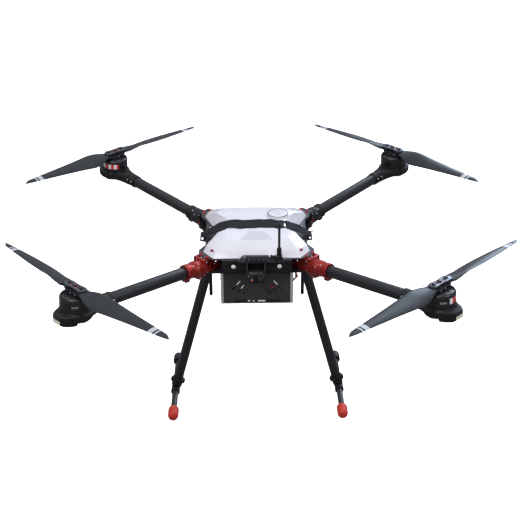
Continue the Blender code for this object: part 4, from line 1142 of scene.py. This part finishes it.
CAMERA_AXIS = joint_point("camera_tilt")
CAMERA_HALF = 0.0185
WHIP_PIVOT = joint_point("whip_fold")


def accessory_rail():
    """The grey rail, the whip's foot and plug, the camera's fork, and a finned block behind the camera."""
    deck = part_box("bottom_plate")[0].z
    back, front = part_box("front_beam")[0].y - 0.0003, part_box("front_beam")[0].y - 0.0073
    low, high = deck + 0.0365, deck + 0.0545
    shape = Shape()
    holes = [polygon(0.0019, 20, 0, (low + 0.0078, x)) for x in (-0.031, -0.020, 0.006, 0.017)]
    bar = [(low, -0.043), (low, 0.064), (low + 0.002, 0.066), (low + 0.010, 0.066), (low + 0.010, 0.032),
           (high, 0.028), (high, -0.033), (low + 0.006, -0.045), (low + 0.002, -0.045)]
    shape.add(pierced(bar, holes, front, back, "Y"), "grey", 0.0006)
    for x in (-0.030, 0.038):
        shape.add(screw_solid(0.0022, 0.0014, "Y", (x, front, high - 0.0035), -1), "steel")
    pivot_y, pivot_z = WHIP_PIVOT.yz
    foot = box_solid((0.0440, pivot_y - 0.0050, low + 0.0050), (0.0630, back, pivot_z - 0.0052))
    shape.add(foot, "plastic", 0.0010)
    plug = (0, front + 0.001, low + 0.0150)
    shape.add(disc_solid(0.0042, 0.0360, 0.0470, 24, "X", plug), "plastic", 0.0005)
    shape.add(disc_solid(0.0056, 0.0320, 0.0365, 6, "X", plug), "plastic", 0.0005)
    cheek = [(pivot_y - 0.0045, low + 0.010), (pivot_y + 0.0037, low + 0.010),
             (pivot_y + 0.0037, pivot_z + 0.001), (pivot_y + 0.0020, pivot_z + 0.0038),
             (pivot_y - 0.0030, pivot_z + 0.0038), (pivot_y - 0.0045, pivot_z + 0.001)]
    ahead, drop, lift = CAMERA_AXIS.y - 0.006, CAMERA_AXIS.z - 0.006, CAMERA_AXIS.z + 0.006
    fork = [(-0.1655, drop + 0.013), (-0.1720, drop), (ahead, drop), (ahead, lift), (-0.1740, low + 0.006),
            (back, low + 0.006), (back, low)]
    bore = polygon(0.0028, 24, 0, CAMERA_AXIS.yz)
    for side in (-1, 1):
        outer = WHIP_PIVOT.x + side * 0.0066
        shape.add(extruded(cheek, WHIP_PIVOT.x + side * 0.0040, outer, "X"), "plastic", 0.0006)
        shape.add(screw_solid(0.0019, 0.0010, "X", (outer, pivot_y, pivot_z), side), "steel")
        near = CAMERA_AXIS.x + side * (CAMERA_HALF + 0.0016)
        shape.add(pierced(fork, [bore], near, near + side * 0.0028, "X"), "plastic", 0.0005)
    near, far = CAMERA_AXIS.x - 0.0226, CAMERA_AXIS.x + 0.0226
    shape.add(box_solid((near, -0.1745, low + 0.0040), (far, front, low + 0.0060)), "plastic", 0.0006)
    block = box_solid((near + 0.0035, front + 0.0012, low - 0.0270),
                      (far - 0.0035, back - 0.0003, low + 0.0010))
    shape.add(block, "plastic", 0.0008)
    for i in range(6):
        z = low - 0.0250 + 0.0042 * i
        fin = box_solid((near + 0.0045, front + 0.0002, z), (far - 0.0045, front + 0.0020, z + 0.0018))
        shape.add(fin, "plastic", 0.0003)
    shape.add(disc_solid(0.0014, -0.0056, 0.0056, 16, "X", WHIP_PIVOT), "steel")
    shape.piece("nose_rail", "airframe", ("accessory_rail",), None)


def camera_head():
    """The twin-lens camera, made about its tilt axis."""
    shape = Shape()
    body = [(-0.0110, -0.0140), (-0.0110, 0.0085), (-0.0060, 0.0150), (0.0105, 0.0150), (0.0105, -0.0110),
            (0.0070, -0.0145)]
    shape.add(extruded(body, -CAMERA_HALF + 0.0004, CAMERA_HALF - 0.0004, "X"), "plastic", 0.0016)
    shape.add(disc_solid(0.0025, -CAMERA_HALF - 0.0034, CAMERA_HALF + 0.0034, 20, "X"), "steel", 0.0003)
    barrel = [(0.0064, -0.0080), (0.0078, -0.0090), (0.0078, -0.0170), (0.0072, -0.0183), (0.0062, -0.0183),
              (0.0058, -0.0160)]
    dome = [(0, -0.0120), (0.0062, -0.0120), (0.0062, -0.0158), (0.0048, -0.0170), (0.0026, -0.0178),
            (0, -0.0180)]
    for x, glow in ((-0.0102, "orange"), (0.0102, "glass")):
        centre = (x, 0, -0.001)
        shape.add(turned(barrel, 48, "Y", centre), "plastic", 0.0003)
        shape.add(bush_solid(0.0058, 0.0065, -0.0186, -0.0176, 48, "Y", centre), "dark_steel", 0.0002)
        shape.add(turned(dome, 40, "Y", centre), "glass")
        shape.add(disc_solid(0.0022, -0.0184, -0.0170, 24, "Y", centre), glow, 0.0002)
    for i in range(5):
        z = 0.0030 + 0.0020 * i
        shape.add(box_solid((-0.0120, 0.0100, z), (0.0120, 0.0114, z + 0.0009)), "plastic", 0.0002)
    shape.piece("nose_camera", "camera_head", ("camera",), Matrix.Translation(CAMERA_AXIS))


def whip():
    """The hinged whip with its beads, made about its hinge."""
    shape = Shape()
    shape.add(disc_solid(0.0042, -0.0036, 0.0036, 32, "X"), "plastic", 0.0005)
    profile = [(0, 0.001), (0.0036, 0.001), (0.0046, 0.0045), (0.0056, 0.0060), (0.0056, 0.0175),
               (0.0044, 0.0205), (0.0030, 0.0235)]
    beads = 15
    for bead in range(beads):
        z = 0.0245 + bead * 0.0038
        profile += [(0.0020, z), (0.0031, z + 0.0008), (0.0033, z + 0.0016), (0.0031, z + 0.0026)]
    profile += [(0.0022, 0.0820), (0.0032, 0.0826), (0.0032, 0.0840), (0.0018, 0.0845), (0, 0.0845)]
    shape.add(turned(profile, 24), "plastic")
    for z in (0.0075, 0.0110, 0.0145):
        shape.add(bush_solid(0.0055, 0.0060, z, z + 0.0012, 32), "plastic", 0.0002)
    shape.piece("whip_antenna", "whip", ("antenna_whip",), Matrix.Translation(WHIP_PIVOT))


def stick_antenna(side_name):
    """A straight stick antenna with its swivel, made about its pivot."""
    shape = Shape()
    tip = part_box("datalink_antenna_" + side_name)[0].z - joint_point("stick_swing_" + side_name).z
    profile = [(0, tip), (0.0026, tip + 0.0004), (0.0041, tip + 0.0020), (0.0045, tip + 0.0040),
               (0.0045, -0.0215), (0.0042, -0.0205), (0.0036, -0.0200), (0.0036, -0.0185), (0.0041, -0.0180),
               (0.0041, 0.0036), (0.0030, 0.0042), (0, 0.0042)]
    shape.add(turned(profile, 40), "plastic")
    shape.add(disc_solid(0.0030, -0.0046, 0.0046, 24, "X"), "plastic", 0.0004)
    shape.add(bush_solid(0.0044, 0.0047, -0.0300, -0.0240, 40), "pale_mark", 0.0001)
    place = Matrix.Translation(joint_point("stick_swing_" + side_name))
    name = "datalink_antenna_" + side_name
    shape.piece("stick_antenna_" + side_name, "stick_" + side_name, (name,), place)


def stick_sockets():
    """The swivel sockets of the stick antennas, under the deck."""
    shape = Shape()
    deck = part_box("bottom_plate")[0].z
    for side in SIDES:
        x, y, z = joint_point("stick_swing_" + side)
        cheek = [(y - 0.004, deck), (y - 0.004, z - 0.002), (y, z - 0.005), (y + 0.004, z - 0.002),
                 (y + 0.004, deck)]
        for way in (-1, 1):
            shape.add(extruded(cheek, x + way * 0.0050, x + way * 0.0066, "X"), "plastic", 0.0004)
    shape.piece("antenna_sockets", "airframe", (), None)


# ---------------------------------------------------------------- payload box
BOX_LOW, BOX_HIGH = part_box("box_tray")


def box_tray():
    """Brushed aluminium floor, walls and turned-in edges, with a row of small screws on each side."""
    sheet, lip = 0.0016, 0.007
    low, high = BOX_LOW, BOX_HIGH
    shape = Shape()
    floor = box_solid((low.x + sheet, low.y, low.z), (high.x - sheet, high.y, low.z + sheet))
    shape.add(floor, "aluminium", 0.0003)
    for side in (-1, 1):
        outer, inner, edge = side * high.x, side * (high.x - sheet), side * (high.x - lip)
        shape.add(box_solid((outer, low.y, low.z), (inner, high.y, high.z)), "aluminium", 0.0005)
        for y in (low.y, high.y - sheet):
            strip = box_solid((edge, y, low.z + sheet), (inner, y + sheet, high.z))
            shape.add(strip, "aluminium", 0.0004)
        for y, way in ((low.y, -1), (high.y, 1)):
            for z in (low.z + 0.014, low.z + 0.0465, high.z - 0.014):
                middle = (side * (high.x - 0.0042), y, z)
                shape.add(screw_solid(0.0013, 0.0008, "Y", middle, way), "steel")
        for y in (low.y + 0.010, low.y + 0.070, high.y - 0.070, high.y - 0.010):
            for z in (low.z + 0.022, high.z - 0.026):
                shape.add(screw_solid(0.0022, 0.0016, "X", (outer, y, z), side), "black")
    for x in (-0.060, 0.060):
        for y in (low.y + 0.030, high.y - 0.030):
            shape.add(screw_solid(0.0030, 0.0010, "Z", (x, y, low.z + 0.0016), 1), "steel")
    shape.piece("box_shell", "airframe", ("box_tray",), None)


# Each slot's place from the panel's middle (x, z), its tilt in degrees and its half length.
FAN = ((0.0240, -0.0050, 62, 0.0042), (0.0320, -0.0130, 50, 0.0048), (0.0360, 0.0040, 52, 0.0062),
       (0.0440, -0.0080, 48, 0.0070), (0.0460, 0.0150, 50, 0.0075), (0.0560, 0.0000, 45, 0.0085))
# Slots of the front panel, counted left side first, that show something bright behind them.
LIT_SLOTS = {2: "lamp", 4: "lamp", 8: "red_screw", 10: "lamp"}


def panel_slots(middle_z):
    """Slanted slots fanned about the panel's middle, as outlines of (z, x)."""
    slots = []
    for side in (-1, 1):
        for x, z, tilt, half in FAN:
            turn = -math.radians(tilt) * side
            bar = stadium(half, 0.0013, 0.0, 3)
            outline = []
            for u, v in bar:
                across = u * math.cos(turn) - v * math.sin(turn)
                up = u * math.sin(turn) + v * math.cos(turn)
                outline.append((middle_z + z + up, side * x + across))
            slots.append(outline)
    return slots


def end_panel(name, outward):
    """A carbon end panel with its slots, a stepped lower edge and a dark skirt along it."""
    low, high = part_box(name)
    half = high.x
    outline = [(low.z + 0.0035, 0.034), (low.z, 0.046), (low.z, half), (high.z, half), (high.z, 0.052),
               (high.z - 0.006, 0.046), (high.z - 0.006, 0.036), (high.z, 0.030)]
    outline += [(z, -x) for z, x in reversed(outline)]
    shape = Shape()
    slots = panel_slots((low.z + high.z) / 2 - 0.003)
    shape.add(pierced(outline, slots, low.y, high.y, "Y"), "carbon_end", 0.0003)
    face = low.y if outward < 0 else high.y
    skirt = [(low.z + 0.0035, -0.058), (low.z + 0.0035, 0.058), (low.z + 0.0085, 0.052),
             (low.z + 0.0085, -0.052)]
    shape.add(extruded(skirt, face, face + outward * 0.0006, "Y"), "black", 0.0002)
    if outward < 0:
        for index, finish in LIT_SLOTS.items():
            shape.add(extruded(slots[index], low.y + 0.0002, high.y - 0.0002, "Y"), finish)
        for x, end, finish in ((-0.0230, -0.0170, "lamp"), (-0.0115, -0.0055, "lamp_core"),
                               (0.0015, 0.0215, "lamp")):
            tag = [(low.z + 0.0044, x), (low.z + 0.0044, end), (low.z + 0.0078, end - 0.001),
                   (low.z + 0.0078, x + 0.001)]
            shape.add(extruded(tag, face - 0.0009, face - 0.0005, "Y"), finish)
    for side in (-1, 1):
        for z in (low.z + 0.008, high.z - 0.008):
            shape.add(screw_solid(0.0018, 0.0009, "Y", (side * (half - 0.005), face, z), outward), "black")
    piece_name = "front_end_panel" if outward < 0 else "rear_end_panel"
    shape.piece(piece_name, "airframe", (name,), None)


def battery():
    """The wrapped pack, with a moulded end and two bands round it."""
    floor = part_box("battery")[0].z
    shape = Shape()
    pack = rectangle(floor, floor + 0.0615, -0.0735, 0.0735)
    shape.add(extruded(pack, -0.116, 0.100, "Y"), "wrap", 0.0050)
    outer = rectangle(floor - 0.0001, floor + 0.0620, -0.0740, 0.0740)
    inner = rectangle(floor + 0.0002, floor + 0.0613, -0.0733, 0.0733)
    for y in (-0.078, 0.060):
        shape.add(pierced(outer, [inner], y, y + 0.020, "Y"), "webbing", 0.0002)
    end = box_solid((-0.040, -0.1178, floor + 0.020), (0.040, -0.1150, floor + 0.042))
    shape.add(end, "plastic", 0.0010)
    shape.piece("battery_pack", "airframe", ("battery",), None)


def leads():
    """Four coloured leads that leave the box's right side and run up to the deck."""
    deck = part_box("bottom_plate")[0].z
    y, z = -0.095, deck - 0.0500
    wires = (("wire_orange", -0.0022, 0.0020, 0.0034), ("wire_red", 0.0018, 0.0012, 0.0010),
             ("wire_white", -0.0008, -0.0022, -0.0016), ("wire_blue", 0.0024, -0.0018, 0.0022))
    shape = Shape()
    for finish, shift_y, shift_z, swell in wires:
        route = [(0.0740, y + shift_y, z + shift_z),
                 (0.0905, y + shift_y, z + shift_z),
                 (0.0965 + swell * 0.3, y + shift_y * 1.2, z + 0.006),
                 (0.0985 + swell, y - 0.003 + shift_y * 1.5, z + 0.015),
                 (0.0970 + swell * 0.5, y - 0.006 + shift_y, z + 0.026),
                 (0.0985 - swell * 0.4, y - 0.006 + shift_y, z + 0.036),
                 (0.0970, y - 0.004 + shift_y, deck - 0.0010)]
        shape.add(swept(smooth_path(route, 8), 0.0015, 14), finish)
    grommet = bush_solid(0.0045, 0.0064, BOX_HIGH.x - 0.0020, BOX_HIGH.x + 0.0012, 32, "X", (0, y, z))
    shape.add(grommet, "plastic", 0.0004)
    shape.piece("power_leads", "airframe", (), None)


def flight_controller():
    """The autopilot under the cover: a case, a lid and three plugs with three pins each."""
    low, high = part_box("flight_controller")
    shape = Shape()
    shape.add(box_solid(low, (high.x, high.y - 0.004, high.z)), "plastic", 0.0022)
    lid = box_solid((low.x + 0.003, low.y + 0.003, high.z - 0.0008),
                    (high.x - 0.003, high.y - 0.008, high.z + 0.0008))
    shape.add(lid, "grey", 0.0006)
    for x in (-0.020, -0.005, 0.010):
        plug = box_solid((x, high.y - 0.006, low.z + 0.003), (x + 0.010, high.y, low.z + 0.010))
        shape.add(plug, "plastic", 0.0006)
        for left in (x + 0.0016, x + 0.0046, x + 0.0076):
            pin = box_solid((left, high.y - 0.002, low.z + 0.0060),
                            (left + 0.0008, high.y + 0.002, low.z + 0.0068))
            shape.add(pin, "steel")
    shape.piece("autopilot", "airframe", ("flight_controller",), None)


# ---------------------------------------------------------------- landing gear
def leg_ends(side):
    """Top of the leg under the deck, and the skid's axis below it."""
    skid_low, skid_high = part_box("skid_left" if side < 0 else "skid_right")
    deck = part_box("bottom_plate")[0].z
    saddle_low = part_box("leg_tee_left" if side < 0 else "leg_tee_right")[0]
    foot = Vector(((skid_low.x + skid_high.x) / 2, saddle_low.y + 0.023, (skid_low.z + skid_high.z) / 2))
    return Vector((side * 0.1115, 0, deck - 0.0115)), foot


def leg(name, side):
    """Made with the tube's axis as X, so that its weave winds round it."""
    top, foot = leg_ends(side)
    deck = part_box("bottom_plate")[0].z
    along = (foot - top).normalized()
    place = frame_matrix(top, along, Vector((0, 1, 0)).cross(along) * -1)
    length = (foot - top).length - 0.020
    shape = Shape()
    shape.add(bush_solid(0.0110, 0.0125, -0.002, length, 64, "X"), "carbon_tube", 0.0003)
    back = place.inverted()
    outline = rectangle(top.x - 0.019, top.x + 0.019, -0.021, 0.021)
    shape.add(extruded(outline, top.z - 0.0085, deck - 0.0003), "black", 0.0020, back)
    shape.add(bush_solid(0.0124, 0.0158, 0.004, 0.024, 48, "X"), "black", 0.0008)
    for x, y in rectangle(top.x - 0.0145, top.x + 0.0145, -0.0170, 0.0170):
        shape.add(screw_solid(0.0022, 0.0014, "Z", (x, y, top.z - 0.0085), -1), "steel", 0, back)
    shape.piece("leg_tube_" + name, "airframe", ("leg_" + name,), place)


def leg_tee(name, side):
    """The coupler that joins a leg to its skid, made with the leg's axis as Z."""
    top, foot = leg_ends(side)
    up = (top - foot).normalized()
    place = frame_matrix(foot, Vector((0, 1, 0)).cross(up), up)
    shape = Shape()
    collar = [(0.0128, 0.0200), (0.0128, 0.0330), (0.0158, 0.0330), (0.0166, 0.0322), (0.0166, 0.0285),
              (0.0150, 0.0272), (0.0148, 0.0180), (0.0138, 0.0110), (0.0118, 0.0040), (0.0, 0.0040),
              (0.0, 0.0200)]
    shape.add(turned(collar, 56), "plastic", 0.0004)
    level = place.inverted() @ Matrix.Translation(foot)
    saddle = [(0.0083, -0.023), (0.0106, -0.023), (0.0115, -0.0215), (0.0115, 0.0215), (0.0106, 0.023),
              (0.0083, 0.023)]
    shape.add(turned(saddle, 56, "Y"), "plastic", 0.0003, level)
    for y in (-0.0205, 0.0180):
        shape.add(bush_solid(0.0110, 0.0122, y, y + 0.0025, 48, "Y"), "plastic", 0.0004, level)
    for way in (-1, 1):
        lug = box_solid((way * 0.0140, -0.0045, 0.0200), (way * 0.0185, 0.0045, 0.0320))
        shape.add(lug, "plastic", 0.0012)
        shape.add(screw_solid(0.0022, 0.0014, "X", (way * 0.0185, 0, 0.0260), way), "dark_steel")
        inner, outer = way * 0.0020, way * 0.0148
        web = [(0.0040, inner), (0.0160, outer), (0.0210, outer), (0.0210, inner)]
        shape.add(extruded(web, -0.0015, 0.0015, "Y"), "plastic", 0.0004)
    shape.piece("leg_coupler_" + name, "airframe", ("leg_tee_" + name,), place)


def skid(name, side):
    """The ground tube, made along X, with its rear cap."""
    low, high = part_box("skid_" + name)
    foot = leg_ends(side)[1]
    place = frame_matrix((foot.x, 0, foot.z), (0, 1, 0), (0, 0, 1))
    shape = Shape()
    shape.add(bush_solid(0.0065, 0.0080, low.y, high.y - 0.010, 56, "X"), "carbon_tube", 0.0003)
    rear = high.y
    cap = [(0.0082, rear - 0.034), (0.0128, rear - 0.034), (0.0140, rear - 0.031), (0.0140, rear - 0.0085),
           (0.0128, rear - 0.0035), (0.0098, rear - 0.0008), (0.0, rear), (0.0, rear - 0.008),
           (0.0082, rear - 0.008)]
    shape.add(turned(cap, 56, "X"), "plastic", 0.0003)
    for x in (rear - 0.026, rear - 0.020):
        shape.add(bush_solid(0.0138, 0.01398, x, x + 0.0014, 56, "X"), "plastic")
    shape.piece("skid_tube_" + name, "airframe", ("skid_" + name,), place)


def foot_cap(name, side):
    """The coral rubber boot on a skid's front end."""
    low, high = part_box("foot_cap_" + name)
    foot = leg_ends(side)[1]
    front, rear = low.y, high.y
    profile = [(0, front), (0.0060, front + 0.0003), (0.0098, front + 0.0018), (0.0125, front + 0.0050),
               (0.0138, front + 0.0095), (0.0138, rear - 0.0075), (0.0134, rear - 0.0022), (0.0122, rear),
               (0.0083, rear), (0.0083, rear - 0.006), (0, rear - 0.006)]
    shape = Shape()
    shape.add(turned(profile, 64, "Y", (foot.x, 0, foot.z)), "coral", 0.0003)
    for y in (rear - 0.0060, rear - 0.0098):
        shape.add(bush_solid(0.0136, 0.0140, y, y + 0.0016, 64, "Y", (foot.x, 0, foot.z)), "coral", 0.0002)
    shape.piece("rubber_boot_" + name, "airframe", ("foot_cap_" + name,), None)


# ---------------------------------------------------------------- labels
def curved_patch(radius, start, end, low, high, steps=16):
    """A thin sticker bent round a cylinder about Z."""
    rings = []
    for i in range(steps + 1):
        angle = math.radians(start + (end - start) * i / steps)
        c, s = math.cos(angle), math.sin(angle)
        rings.append([((radius + t) * c, (radius + t) * s, z) for t, z in
                      ((0.0, low), (0.0003, low), (0.0003, high), (0.0, high))])
    return lofted(rings)


def label_frame(corner):
    """On the motor's axis, with X to the object's right, so that labels face the nose at rest."""
    return frame_matrix(joint_point("rotor_spin_" + corner), (1, 0, 0), joint_axis("rotor_spin_" + corner))


def motor_labels():
    """Striped stickers on two of the motor cans, and three pale bars on each front one."""
    for corner, start, end in (("fr", -62, -22), ("rl", -148, -68)):
        shape = Shape()
        shape.add(curved_patch(BELL_R + 0.0006, start, end, -0.0350, -0.0212), "motor_label")
        shape.piece("motor_label_" + corner, "rotor_" + corner, (), label_frame(corner))
    for corner in ("fl", "fr"):
        shape = Shape()
        for start, end in ((-98, -91), (-88, -79), (-76, -73)):
            shape.add(curved_patch(BELL_R + 0.0001, start, end, -0.0325, -0.0275), "pale_mark")
        shape.piece("motor_mark_" + corner, "rotor_" + corner, (), label_frame(corner))


# ---------------------------------------------------------------- making
def refinish(name, finish):
    """A new finish on a part of the model whose shape is kept."""
    nodes[name].data.materials.clear()
    nodes[name].data.materials.append(FINISH[finish])


make_camera()
make_stage()
FINISH = make_materials()
for spot in CORNERS:
    motor_bell(spot)
    prop_hub(spot)
    blades(spot)
    arm_tube(spot)
    fold_sleeve(spot)
    lock_collar(spot)
    motor_mount(spot)
    fold_bracket(spot)
for plate in ("top_plate", "bottom_plate"):
    refinish(plate, "carbon_top")
corner_screws()
plate_spacers()
canopy()
cover_screws()
battery_strap()
strap_hardware()
gps_puck()
front_beam()
accessory_rail()
camera_head()
whip()
stick_sockets()
box_tray()
end_panel("box_front_panel", -1)
end_panel("box_rear_panel", 1)
battery()
leads()
flight_controller()
for side_name, way in SIDES.items():
    stick_antenna(side_name)
    leg(side_name, way)
    leg_tee(side_name, way)
    skid(side_name, way)
    foot_cap(side_name, way)
motor_labels()
